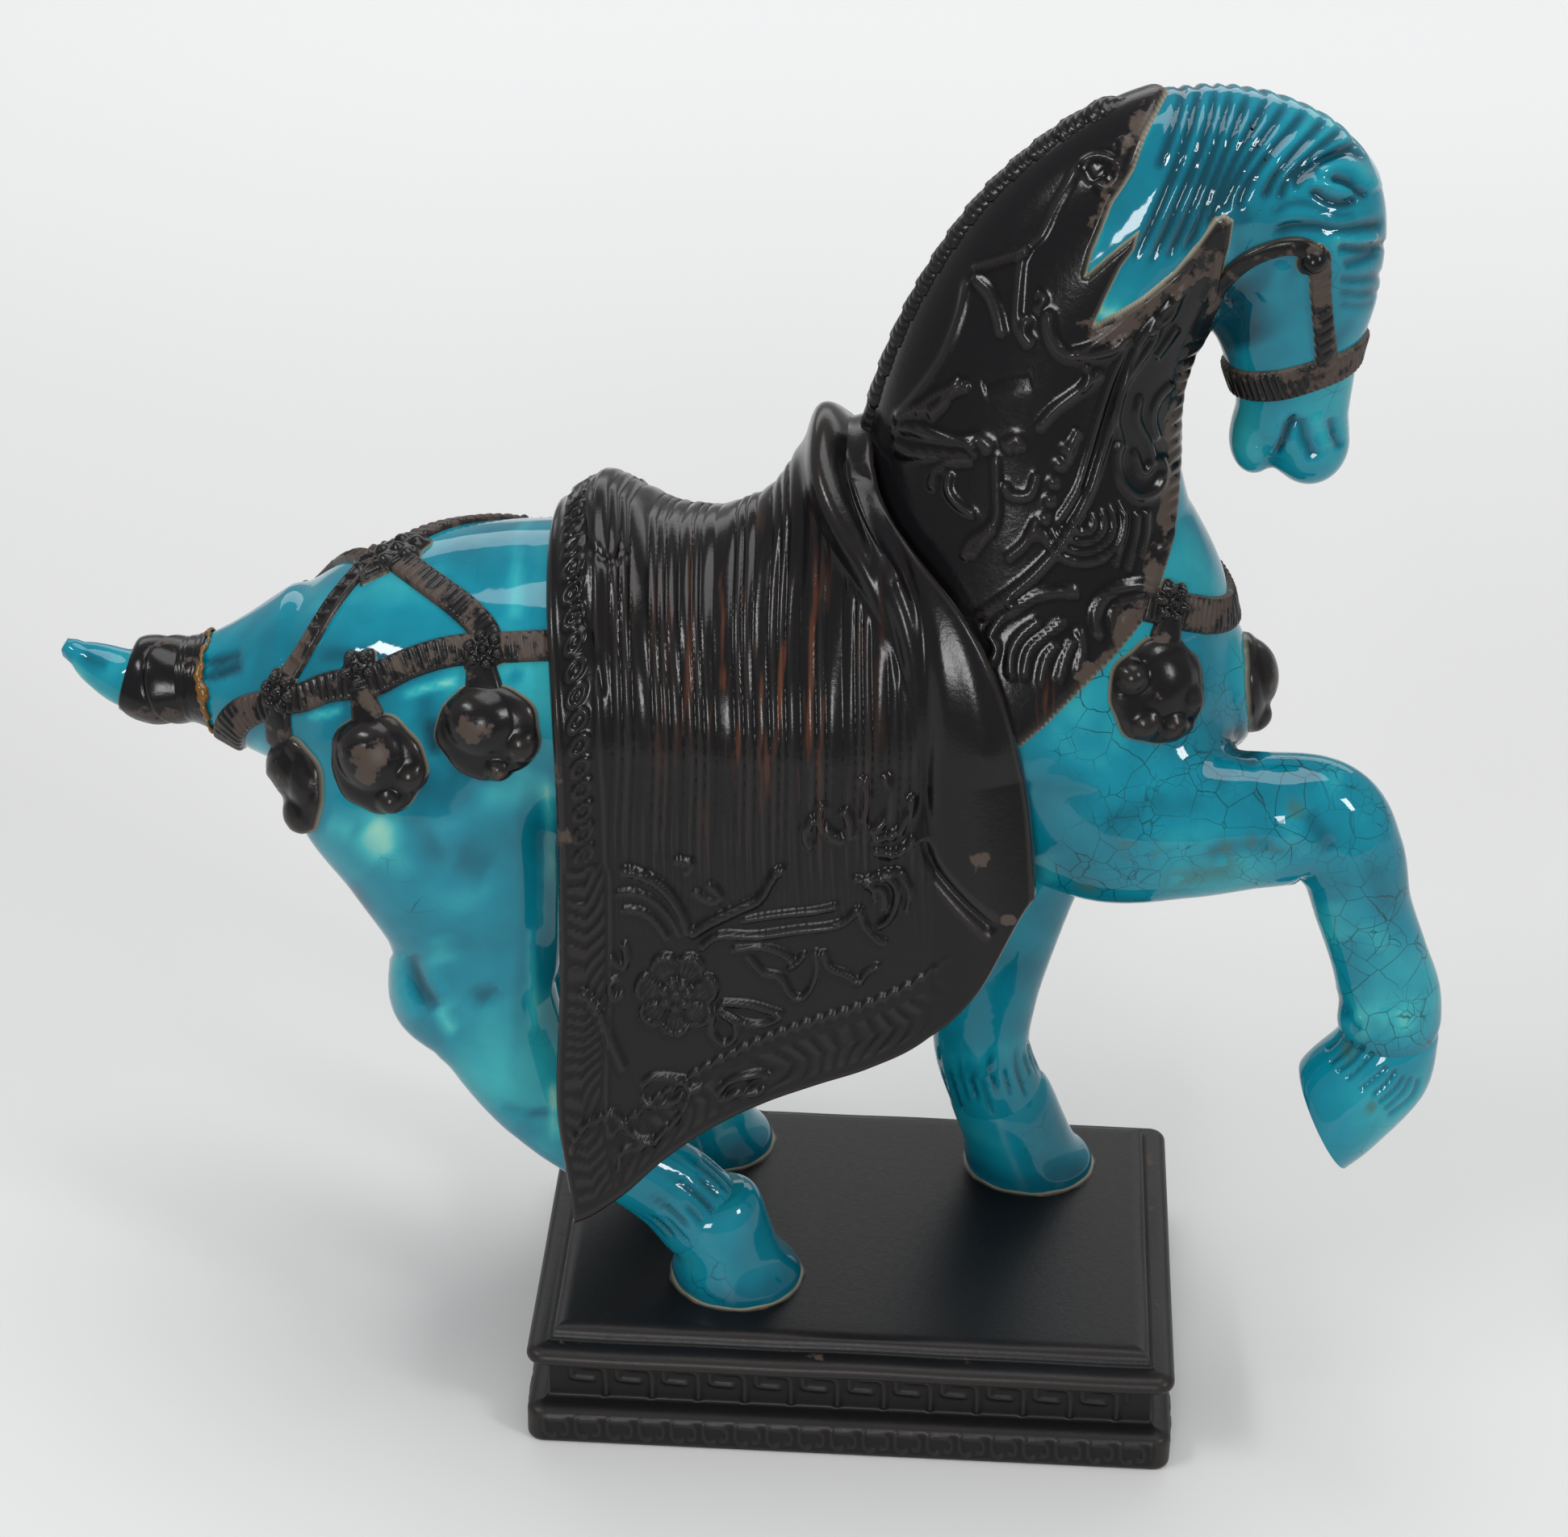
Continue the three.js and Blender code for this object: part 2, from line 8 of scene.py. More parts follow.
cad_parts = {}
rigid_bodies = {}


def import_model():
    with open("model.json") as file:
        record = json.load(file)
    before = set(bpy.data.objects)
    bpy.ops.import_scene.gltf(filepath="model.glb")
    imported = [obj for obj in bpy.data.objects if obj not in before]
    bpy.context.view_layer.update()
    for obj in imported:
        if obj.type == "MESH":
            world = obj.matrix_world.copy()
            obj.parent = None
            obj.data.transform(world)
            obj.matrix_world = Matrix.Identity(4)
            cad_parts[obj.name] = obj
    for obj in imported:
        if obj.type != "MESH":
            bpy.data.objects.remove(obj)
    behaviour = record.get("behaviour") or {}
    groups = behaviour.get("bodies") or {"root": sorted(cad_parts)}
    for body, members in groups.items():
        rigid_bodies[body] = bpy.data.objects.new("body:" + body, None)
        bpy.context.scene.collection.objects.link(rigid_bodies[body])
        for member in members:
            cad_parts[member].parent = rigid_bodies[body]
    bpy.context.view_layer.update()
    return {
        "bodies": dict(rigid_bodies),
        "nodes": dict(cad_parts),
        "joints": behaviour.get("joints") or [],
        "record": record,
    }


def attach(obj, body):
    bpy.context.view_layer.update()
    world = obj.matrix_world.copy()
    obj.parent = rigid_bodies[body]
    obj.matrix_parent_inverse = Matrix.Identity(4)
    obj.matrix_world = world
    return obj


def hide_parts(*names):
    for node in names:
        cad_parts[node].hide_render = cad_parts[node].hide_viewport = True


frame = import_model()

# A glazed porcelain horse in a dark unglazed saddle cloth and neck cloth, on a moulded plinth.
# Shapes are worked out in millimetres: +Z up, +X towards the head, the near side at -Y.

# The camera, in millimetres, degrees and pixels. The carving is drawn in this view's own pixels,
# because the side of the horse is read most easily there.
view = {
    "size": (1943, 1904),
    "focal": 5033.2,
    "place": (21.69, -924.3, 713.96),
    "turn": -2.7776,
    "down": 29.987,
    "roll": -0.968,
    "sensor": 36,
}


# The camera's rows: to the right of the picture, down it, and forwards.
def viewRows():
    turn, down, roll = np.radians([view["turn"], view["down"], view["roll"]])
    ahead = np.array([np.sin(turn) * np.cos(down), np.cos(turn) * np.cos(down), -np.sin(down)])
    level = np.array([np.cos(turn), -np.sin(turn), 0])
    below = np.cross(ahead, level)
    return np.array([
        np.cos(roll) * level + np.sin(roll) * below,
        np.cos(roll) * below - np.sin(roll) * level,
        ahead,
    ])


# Where points show in the picture: focal length times offset over depth, from the picture's middle.
# Both sides of the horse are carved alike, so a point of the far side takes its near twin's place.
def drawnAt(points, twins=True):
    seen = np.array(points, float)
    if twins:
        seen[:, 1] = -np.abs(seen[:, 1])
    across, under, depth = viewRows() @ (seen - view["place"]).T
    middle = np.array(view["size"]) / 2
    return middle + view["focal"] * np.stack([across / depth, under / depth], 1)


# A smooth curve through points: the Catmull-Rom cubic between each pair, for t from 0 to 1.
def curveAt(points, t):
    points = np.asarray(points, float)
    last = len(points) - 1
    place = np.clip(t, 0, 1) * last
    i = np.minimum(place.astype(int), last - 1)
    s = (place - i).reshape(place.shape + (1,) * (points.ndim - 1))
    a, b, c, d = (points[np.clip(i + k, 0, last)] for k in (-1, 0, 1, 2))
    return b + 0.5 * s * (c - a + s * (2 * a - 5 * b + 4 * c - d + s * (3 * (b - c) + d - a)))


# A smooth step from 0 at low to 1 at high: 3s^2 - 2s^3.
def ease(value, low, high):
    s = np.clip((value - low) / (high - low), 0, 1)
    return s * s * (3 - 2 * s)


def unit(vectors):
    return vectors / np.maximum(np.linalg.norm(vectors, axis=-1, keepdims=True), 1e-9)


# Limbs: centre x, y, z, half the size across the path, half the width along Y.
limbs = {
    "torso": [
        (-178, 0, 200, 8, 9), (-160, 0, 200, 18, 22), (-143, 0, 202, 25, 33), (-126, 0, 205, 31.5, 39),
        (-105, 0, 207.5, 35.5, 42), (-75, 0, 208, 38, 43), (-40, 0, 206, 40, 43), (0, 0, 205, 43, 42),
        (35, 0, 206, 45, 41), (60, 0, 207, 42, 37), (80, 0, 209, 32, 30), (92.5, 0, 211, 15, 15),
    ],
    "neck": [
        (34, 0, 205, 59, 38), (37, 0, 233, 54, 35), (36, 0, 262, 42, 30), (37, 0, 285, 37, 26),
        (43, 0, 307, 34, 24), (52, 0, 326, 31, 23), (65, 0, 342, 27, 22), (80, 0, 351, 22.5, 21),
        (92, 0, 355, 15, 17),
    ],
    "head": [
        (80, 0, 360, 10, 11), (88, 0, 354, 18.5, 18), (97, 0, 342, 22.5, 20), (100, 0, 325, 20.5, 18),
        (100, 0, 309, 17.5, 15), (101.5, 0, 295, 14.5, 13), (101.5, 0, 284, 13, 12.5),
        (101.5, 0, 279, 7, 9),
    ],
    "tail": [
        (-150, 0, 204, 19, 22), (-166, 0, 201.2, 11.2, 13.4), (-177, 0, 199.8, 8.6, 9.8),
        (-188, 0, 199.2, 9.4, 10), (-196, 0, 199.4, 7.8, 8), (-202.8, 0, 202.6, 6.1, 6.2),
        (-206.5, 0, 204.8, 4.7, 4.8), (-208.9, 0, 206.3, 3.2, 3.2),
    ],
    "nearHindLeg": [
        (-121, -21, 204, 25, 17), (-115, -25, 188, 35, 20.5), (-107, -27, 165, 29.5, 18.5),
        (-101.5, -28, 143, 23, 15.5), (-99.5, -28, 124, 19, 13.5), (-91, -28, 102, 16, 12.5),
        (-80, -28, 86, 13, 11.5), (-64, -27, 73, 12, 11.5), (-50, -26, 62, 12.5, 12),
        (-42, -26, 53, 13, 13),
    ],
    "farForeleg": [
        (46, 24, 190, 24, 14), (45, 28, 160, 22, 14), (40, 31, 135, 18.5, 13), (36, 32, 112, 16, 12.5),
        (33, 33, 92, 14.5, 12), (32.5, 33, 74, 13.5, 12.5), (38, 33, 57, 13.5, 13),
    ],
    "raisedForeleg": [
        (44, -22, 190, 24, 15), (62, -26, 186, 25, 17), (82, -28, 186, 21.5, 16),
        (100, -29, 187.5, 18.5, 14.5), (115, -29, 187.5, 17, 13.5), (123.5, -29, 177.5, 14, 12.5),
        (128, -29, 163, 12.5, 11.5), (133.5, -29, 148, 12.5, 11.5), (137, -29, 136, 13.5, 12),
        (138, -29, 122, 13.5, 12.5),
    ],
}
# The far hind leg is the near one's mirror image, a little further back and out the lower it is.
limbs["farHindLeg"] = [
    (x - (204 - z) / 15, -y + (204 - z) / 15, z, half, wide)
    for x, y, z, half, wide in limbs["nearHindLeg"]
]
# Lumps: centre, half sizes and turn about Y in radians.
lumps = {
    "nearHock": ((-111, -28, 125), (14, 12, 16), 0.3),
    "farHock": ((-116, 34, 125), (14, 12, 16), 0.3),
    "upperLip": ((106.5, 0, 281), (10, 12.5, 11), 0),
    "lowerLip": ((93, 0, 281.5), (6.5, 9.5, 9.5), 0),
}
blending = {"fillet": 9, "lipFillet": 2.5, "samples": 96, "limbEnd": 5}


# A limb's centres, directions and half sizes at places along its stations. Side lies close to Y,
# along follows the path, and across is square to both.
def limbFrames(name, places):
    centre = curveAt(limbs[name], places)
    small = 1e-3
    ahead = curveAt(limbs[name], np.minimum(places + small, 1))
    behind = curveAt(limbs[name], np.maximum(places - small, 0))
    along = unit((ahead - behind)[:, :3])
    side = unit(np.array([0, 1, 0]) - along[:, 1:2] * along)
    return {
        "centre": centre[:, :3], "half": centre[:, 3], "wide": centre[:, 4],
        "along": along, "side": side, "across": np.cross(along, side),
    }


limbSamples = {name: limbFrames(name, np.linspace(0, 1, blending["samples"])) for name in limbs}


# A point's place along a limb, how far it lies past the limb's ends, and its offsets across and aside.
def limbPlace(name, points):
    frames = limbSamples[name]
    centres = frames["centre"]
    nearest = np.argmin((centres**2).sum(1) - 2 * points @ centres.T, axis=1)
    ahead = ((points - centres[nearest]) * frames["along"][nearest]).sum(1)
    last = len(centres) - 1
    turn = np.where(ahead > 0, 1, -1)
    beside = np.clip(nearest + turn, 0, last)
    beyond = ((points - centres[beside]) * frames["along"][beside]).sum(1)
    gap = np.where(np.abs(ahead - beyond) < 1e-6, 1, ahead - beyond)
    place = np.clip(nearest + turn * np.clip(ahead / gap, 0, 1), 0, last)
    low = np.minimum(place.astype(int), last - 1)
    part = (place - low)[:, None]
    here = {
        key: (1 - part) * values[low].reshape(len(low), -1) + part * values[low + 1].reshape(len(low), -1)
        for key, values in frames.items()
    }
    offset = points - here["centre"]
    along, across, side = ((offset * here[key]).sum(1) for key in ("along", "across", "side"))
    past = np.where((place <= 0) | (place >= last), along, 0)
    return place / last, past, across, side, here["half"][:, 0], here["wide"][:, 0]


# How far points lie outside a limb: (r - 1) / r of their distance from its centre line, where r is
# the size of the oval through the point against the limb's own oval.
def limbField(name, points):
    place, past, across, side, half, wide = limbPlace(name, points)
    size = np.sqrt((across / half)**2 + (side / wide)**2 + (past / blending["limbEnd"])**2)
    reach = np.sqrt(across**2 + side**2 + past**2)
    return reach * (1 - 1 / np.maximum(size, 0.05))


def lumpField(name, points):
    centre, half, turn = lumps[name]
    cos, sin = np.cos(turn), np.sin(turn)
    offset = points - centre
    turned = offset @ np.array([[cos, 0, sin], [0, 1, 0], [-sin, 0, cos]])
    size = np.linalg.norm(turned / half, axis=1)
    return np.linalg.norm(offset, axis=1) * (1 - 1 / np.maximum(size, 0.05))


# Two fields joined with a rounded inner corner: the smaller, less a bump where they are close.
def joined(first, second, fillet):
    close = np.maximum(fillet - np.abs(first - second), 0)
    return np.minimum(first, second) - close**2 / (4 * fillet)


# How far points lie outside the whole horse.
def horseField(points, names=None):
    field = None
    for name in names or [*limbs, *lumps]:
        part = limbField(name, points) if name in limbs else lumpField(name, points)
        fillet = blending["lipFillet"] if "Lip" in name else blending["fillet"]
        field = part if field is None else joined(field, part, fillet)
    return field


# The quads of a grid of points, wrapped round its columns when closed.
def gridFaces(rows, columns, closed=True, first=0):
    wide = columns if closed else columns - 1
    i, j = np.meshgrid(np.arange(rows - 1), np.arange(wide), indexing="ij")
    after = (j + 1) % columns
    corners = [i * columns + j, i * columns + after, (i + 1) * columns + after, (i + 1) * columns + j]
    return first + np.stack(corners, -1).reshape(-1, 4)


# A closed skin over rings of points, each end closed by a face of many corners.
def closedGrid(rings):
    rows, columns = rings.shape[:2]
    faces = gridFaces(rows, columns).tolist()
    ends = [list(range(columns))[::-1], list(range((rows - 1) * columns, rows * columns))]
    return rings.reshape(-1, 3), faces + ends


# Rings round a limb: centre + across * half * cos(angle) + side * wide * sin(angle).
def limbRings(name, places, sides, grow=0):
    frames = limbFrames(name, places)
    angle = np.linspace(0, 2 * np.pi, sides, endpoint=False)[None, :, None]
    tall = (frames["half"] + grow)[:, None, None] * frames["across"][:, None]
    broad = (frames["wide"] + grow)[:, None, None] * frames["side"][:, None]
    return frames["centre"][:, None] + np.cos(angle) * tall + np.sin(angle) * broad


def meshOf(name, points, faces):
    mesh = bpy.data.meshes.new(name)
    mesh.from_pydata(np.asarray(points) / 1000, [], faces if isinstance(faces, list) else faces.tolist())
    return mesh


def pointsOf(mesh):
    values = np.empty(len(mesh.vertices) * 3)
    mesh.vertices.foreach_get("co", values)
    return values.reshape(-1, 3) * 1000


def trianglesOf(mesh):
    mesh.calc_loop_triangles()
    values = np.empty(len(mesh.loop_triangles) * 3, int)
    mesh.loop_triangles.foreach_get("vertices", values)
    return values.reshape(-1, 3)


# Each point's direction outwards: the sum of its triangles' crossed edges.
def normalsOf(points, triangles):
    a, b, c = (points[triangles[:, k]] for k in range(3))
    facing = np.cross(b - a, c - a)
    total = np.stack([
        sum(np.bincount(triangles[:, k], facing[:, axis], len(points)) for k in range(3))
        for axis in range(3)
    ], 1)
    return unit(total)


# The mean of each point's neighbours, for values of any width.
def neighbourMean(values, triangles):
    count = len(values)
    start = triangles[:, [0, 1, 2]].ravel()
    end = triangles[:, [1, 2, 0]].ravel()
    shares = np.maximum(np.bincount(start, minlength=count), 1)
    flat = values.reshape(count, -1)
    sums = [np.bincount(start, flat[end, k], count) for k in range(flat.shape[1])]
    return (np.stack(sums, 1) / shares[:, None]).reshape(values.shape)


# How hollow the skin is at each point, in millimetres: the neighbours' mean against the normal.
def hollowness(points, triangles, rounds=2):
    normals = normalsOf(points, triangles)
    hollowShadeRidgeWear = ((neighbourMean(points, triangles) - points) * normals).sum(1)
    for _ in range(rounds):
        hollowShadeRidgeWear = (hollowShadeRidgeWear + neighbourMean(hollowShadeRidgeWear, triangles)) / 2
    return hollowShadeRidgeWear


# How far each point lies in a crease, from 0 to 1: there the field grows slowly along the normal.
def creases(points, triangles, reach=5):
    beyond = horseField(points + reach * normalsOf(points, triangles))
    return np.clip(1 - beyond / reach, 0, 1)


# Points drawn towards their neighbours' mean, in rounds, as far as each one's share allows.
def relaxed(points, triangles, share, rounds=10):
    for _ in range(rounds):
        points = points + share[:, None] * (neighbourMean(points, triangles) - points)
    return points


# Closed skins melted into one by a voxel remesh, finer near the chosen points.
def melted(name, skins, voxel, finer=None):
    points, faces = [], []
    for skinPoints, skinFaces in skins:
        base = sum(map(len, points))
        points.append(skinPoints)
        faces += [[base + corner for corner in face] for face in skinFaces]
    obj = bpy.data.objects.new(name + "Rough", meshOf(name, np.concatenate(points), faces))
    bpy.context.scene.collection.objects.link(obj)
    remesh = obj.modifiers.new("Remesh", "REMESH")
    remesh.mode = "VOXEL"
    remesh.voxel_size = voxel / 1000
    mesh = bpy.data.meshes.new_from_object(obj.evaluated_get(bpy.context.evaluated_depsgraph_get()))
    bpy.data.objects.remove(obj)
    if finer is not None:
        chosen = finer(pointsOf(mesh))
        work = bmesh.new()
        work.from_mesh(mesh)
        edges = [edge for edge in work.edges if all(chosen[corner.index] for corner in edge.verts)]
        bmesh.ops.subdivide_edges(work, edges=edges, cuts=1, use_grid_fill=True)
        work.to_mesh(mesh)
        work.free()
    return pointsOf(mesh), trianglesOf(mesh)


# Points moved along their normals onto the horse's field, grown by an amount.
def settled(points, triangles, rounds=4, grow=0, names=None, free=None):
    for _ in range(rounds):
        step = horseField(points, names) - grow
        if free is not None:
            step = step * free
        points = points - np.clip(step, -2, 2)[:, None] * normalsOf(points, triangles)
    return points


# Each point's distance to a drawn line, and its place along the line from 0 to 1.
def lineDistance(places, line, steps=7):
    count = (len(line) - 1) * steps + 1
    bends = curveAt(line, np.linspace(0, 1, count))
    start, step = bends[:-1], np.diff(bends, axis=0)
    offset = places[:, None] - start
    part = np.clip((offset * step).sum(-1) / (step**2).sum(-1), 0, 1)
    gap = np.linalg.norm(offset - part[..., None] * step, axis=-1)
    nearest = np.argmin(gap, axis=1)
    rows = np.arange(len(places))
    return gap[rows, nearest], (nearest + part[rows, nearest]) / (count - 1)


# Relief of drawn strokes, each (half width, height, points): height * exp(-(distance/width)^2),
# thinning towards its ends. Only the points near a stroke are worked out.
def strokes(places, drawn, ends=0.12):
    total = np.zeros(len(places))
    for width, height, line in drawn:
        line = np.array(line, float)
        low, high = line.min(0) - 3 * width, line.max(0) + 3 * width
        near = np.flatnonzero(((places > low) & (places < high)).all(1))
        if len(near):
            gap, along = lineDistance(places[near], line)
            taper = ease(along, -0.02, ends) * ease(1 - along, -0.02, ends)
            total[near] += height * np.exp(-(gap / width)**2) * taper
    return total


# Signed distance to a drawn outline, in pixels: negative inside. Insides are told by how often a
# line to the right crosses the outline.
def outlineDistance(places, outline, smooth=False):
    outline = np.array(outline, float)
    closed = np.concatenate([outline, outline[:1]])
    if smooth:
        closed = curveAt(closed, np.linspace(0, 1, len(closed) * 6))
    start, step = closed[:-1], np.diff(closed, axis=0)
    offset = places[:, None] - start
    part = np.clip((offset * step).sum(-1) / np.maximum((step**2).sum(-1), 1e-9), 0, 1)
    gap = np.linalg.norm(offset - part[..., None] * step, axis=-1).min(1)
    y = places[:, 1:2]
    crosses = (closed[:-1, 1] > y) != (closed[1:, 1] > y)
    slope = step[:, 0] / np.where(np.abs(step[:, 1]) < 1e-9, 1e-9, step[:, 1])
    right = places[:, 0:1] < start[:, 0] + (y - start[:, 1]) * slope
    inside = (crosses & right).sum(1) % 2 == 1
    return np.where(inside, -gap, gap)


# Adds a finished piece: its mesh, values for its material, body and slot.
def addPiece(name, points, faces, material, values={}):
    mesh = meshOf(name, points, faces)
    mesh.polygons.foreach_set("use_smooth", np.ones(len(mesh.polygons), bool))
    for key, data in values.items():
        attribute = mesh.attributes.new(key, "FLOAT", "POINT")
        attribute.data.foreach_set("value", np.asarray(data, np.float32))
    mesh.materials.append(material)
    piece = bpy.data.objects.new(name, mesh)
    bpy.context.scene.collection.objects.link(piece)
    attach(piece, "root")
    corners = sum(len(face) - 2 for face in faces) if isinstance(faces, list) else \
        len(faces) * (faces.shape[1] - 2)
    print(name, "has", corners, "triangles")
    return piece


# Finds or makes a node and sets its inputs: a value, or a socket that is linked to it.
def addNode(tree, kind, inputs={}, **settings):
    node = tree.nodes.new(kind)
    for key, value in settings.items():
        setattr(node, key, value)
    for key, value in inputs.items():
        if isinstance(value, bpy.types.NodeSocket):
            tree.links.new(value, node.inputs[key])
        else:
            node.inputs[key].default_value = value
    return node


def newMaterial(name, **fixed):
    material = bpy.data.materials.new(name)
    material.use_nodes = True
    tree = material.node_tree
    shader = tree.nodes["Principled BSDF"]
    for key, value in fixed.items():
        shader.inputs[key.replace("_", " ")].default_value = value
    return material, tree, shader


def noise(tree, scale, detail=3, roughness=0.5, stretch=(1, 1, 1), distortion=0):
    place = addNode(tree, "ShaderNodeTexCoord").outputs["Object"]
    if stretch != (1, 1, 1):
        place = addNode(tree, "ShaderNodeMapping", {"Vector": place, "Scale": stretch}).outputs[0]
    inputs = {"Vector": place, "Scale": scale, "Detail": detail, "Roughness": roughness,
              "Distortion": distortion}
    return addNode(tree, "ShaderNodeTexNoise", inputs).outputs["Fac"]


def attribute(tree, name):
    return addNode(tree, "ShaderNodeAttribute", attribute_name=name).outputs["Fac"]


def calc(tree, operation, first, second=0.0, clamp=False):
    node = addNode(tree, "ShaderNodeMath", {0: first, 1: second}, operation=operation)
    node.use_clamp = clamp
    return node.outputs[0]


# A value spread from low..high to 0..1, smoothly.
def spread(tree, value, low, high, start=0.0, end=1.0):
    inputs = {"Value": value, 1: low, 2: high, 3: start, 4: end}
    return addNode(tree, "ShaderNodeMapRange", inputs, interpolation_type="SMOOTHSTEP").outputs[0]


def mixed(tree, share, first, second, blend="MIX"):
    node = addNode(tree, "ShaderNodeMix", {0: share, 6: first, 7: second}, data_type="RGBA",
                   blend_type=blend)
    return node.outputs[2]


def ramp(tree, value, stops):
    node = addNode(tree, "ShaderNodeValToRGB", {"Fac": value})
    marks = node.color_ramp.elements
    for i, (place, colour) in enumerate(stops):
        mark = marks[i] if i < 2 else marks.new(place)
        mark.position = place
        mark.color = colour
    return node.outputs["Color"]


# The glaze: dark where it pools in hollows, pale over ridges, blotched, crazed with fine cracks.
glazeLook = {
    "pool": (0.0008, 0.05, 0.076, 1),
    "deep": (0.001, 0.105, 0.156, 1),
    "body": (0.003, 0.2, 0.275, 1),
    "thin": (0.03, 0.36, 0.39, 1),
    "bare": (0.26, 0.56, 0.44, 1),
    "crack": (0.003, 0.045, 0.055, 1),
    "stain": (0.045, 0.1, 0.075, 1),
    "blotch": 24,
    "blotchShare": 0.85,
    "mottle": 110,
    "mottleShare": 0.14,
    "cells": (120, 260),
    "crackWidth": (0.02, 0.03),
    "roughness": 0.05,
}


def glazeMaterial():
    look = glazeLook
    material, tree, shader = newMaterial("turquoiseGlaze", Roughness=look["roughness"], IOR=1.43)
    tone = attribute(tree, "tone")
    for scale, share in ((look["blotch"], look["blotchShare"]), (look["mottle"], look["mottleShare"])):
        cloud = calc(tree, "SUBTRACT", noise(tree, scale, 2, 0.5, distortion=0.6), 0.5)
        tone = calc(tree, "ADD", tone, calc(tree, "MULTIPLY", cloud, share))
    colour = ramp(tree, tone, [
        (0.0, look["pool"]), (0.25, look["deep"]), (0.5, look["body"]), (0.75, look["thin"]),
        (1.0, look["bare"]),
    ])
    # Crazing: the edges of Voronoi cells, bent a little, and shown only where it has opened.
    place = addNode(tree, "ShaderNodeTexCoord").outputs["Object"]
    bend = addNode(tree, "ShaderNodeVectorMath", {0: noise(tree, 180, 2), 3: 0.002}, operation="SCALE")
    wander = addNode(tree, "ShaderNodeVectorMath", {0: place, 1: bend.outputs[0]}, operation="ADD").outputs[0]
    for cells, width, opening in zip(look["cells"], look["crackWidth"], (0.0, -0.12)):
        edges = addNode(tree, "ShaderNodeTexVoronoi", {"Vector": wander, "Scale": cells},
                        feature="DISTANCE_TO_EDGE").outputs["Distance"]
        lines = spread(tree, edges, width * 0.3, width, 1.0, 0.0)
        where = calc(tree, "ADD", noise(tree, cells * 0.3, 2), attribute(tree, "crazed"))
        opened = spread(tree, where, 0.62 - opening, 0.85 - opening, 0, 0.85)
        colour = mixed(tree, calc(tree, "MULTIPLY", lines, opened), colour, look["crack"])
    patches = spread(tree, noise(tree, 130, 4, 0.65), 0.4, 0.52)
    smear = calc(tree, "MULTIPLY", attribute(tree, "stain"), patches)
    colour = mixed(tree, calc(tree, "MULTIPLY", smear, 0.75), colour, look["stain"])
    tree.links.new(colour, shader.inputs["Base Color"])
    # The glaze's skin: slow waves.
    waves = {"Height": noise(tree, 70, 2), "Strength": 0.06, "Distance": 0.004}
    tree.links.new(addNode(tree, "ShaderNodeBump", waves).outputs[0], shader.inputs["Normal"])
    return material


# The unglazed black: satin, darker in hollows as painted shade, browner and paler where it is worn on ridges,
# cream where glaze meets it.
biscuitLook = {
    # painted shade: the colour that darkens the hollows
    "hollowShadeRidgeWear": (0.002, 0.002, 0.0022, 1),
    "body": (0.0055, 0.0052, 0.006, 1),
    "ridge": (0.016, 0.0135, 0.0125, 1),
    "worn": (0.06, 0.043, 0.034, 1),
    "rust": (0.13, 0.042, 0.018, 1),
    "edge": (0.36, 0.34, 0.25, 1),
    "roughness": 0.31,
    "wearRoughness": 0.22,
}


def biscuitMaterial():
    look = biscuitLook
    material, tree, shader = newMaterial("blackBiscuit", IOR=1.42, Specular_IOR_Level=0.36)
    # Painted shade: the skin's hollows darken towards the hollow colour, while its ridges turn the paler
    # brown of wear.
    cloud = calc(tree, "MULTIPLY", noise(tree, 90, 3, 0.6), 0.3)
    raised = calc(tree, "SUBTRACT", cloud, attribute(tree, "hollowShadeRidgeWear"))
    colour = ramp(tree, calc(tree, "ADD", raised, 0.35), [
        (0.0, look["hollowShadeRidgeWear"]), (0.38, look["body"]), (0.6, look["body"]), (0.9, look["ridge"]),
    ])
    rubbed = calc(tree, "ADD", noise(tree, 110, 4, 0.6), attribute(tree, "worn"))
    patches = spread(tree, rubbed, 0.93, 1.0)
    colour = mixed(tree, patches, colour, look["worn"])
    streaks = spread(tree, noise(tree, 60, 2, 0.5, (6, 0.6, 0.5)), 0.56, 0.7)
    colour = mixed(tree, calc(tree, "MULTIPLY", streaks, attribute(tree, "rust")), colour, look["rust"])
    colour = mixed(tree, attribute(tree, "edge"), colour, look["edge"])
    tree.links.new(colour, shader.inputs["Base Color"])
    grain = noise(tree, 500, 2, 0.5)
    gloss = calc(tree, "ADD", calc(tree, "MULTIPLY", grain, 0.12), look["roughness"] - 0.06)
    gloss = calc(tree, "ADD", gloss, calc(tree, "MULTIPLY", patches, look["wearRoughness"]))
    gloss = calc(tree, "SUBTRACT", gloss, attribute(tree, "polish"))
    tree.links.new(gloss, shader.inputs["Roughness"])
    pores = {"Height": noise(tree, 900, 3, 0.6), "Strength": 0.12, "Distance": 0.0004}
    tree.links.new(addNode(tree, "ShaderNodeBump", pores).outputs[0], shader.inputs["Normal"])
    return material


glaze = glazeMaterial()
biscuit = biscuitMaterial()


# Where the glaze pooled (below 0.5) or ran thin (above): dark in creases and drawn grooves.
glazePools = {"crease": 0.5, "cut": 0.36, "ridge": 0.14, "deepest": 0.62}


def glazeValues(points, triangles, relief=0, **others):
    pool = glazePools["crease"] * creases(points, triangles)
    tone = 0.5 - pool
    tone = tone + glazePools["cut"] * np.minimum(relief, 0) + glazePools["ridge"] * np.maximum(relief, 0)
    # Drawn tones: partly the glaze's own patches, partly painted light such as painted highlights along
    # edges.
    for sheet, drawn in glazeTonesAndPaintedLight.items():
        tone += strokes(onSheet(sheet, points), drawn, 0.3) * (points[:, 1] < 25)
    return {"tone": np.maximum(tone, 0.5 - glazePools["deepest"])} | others


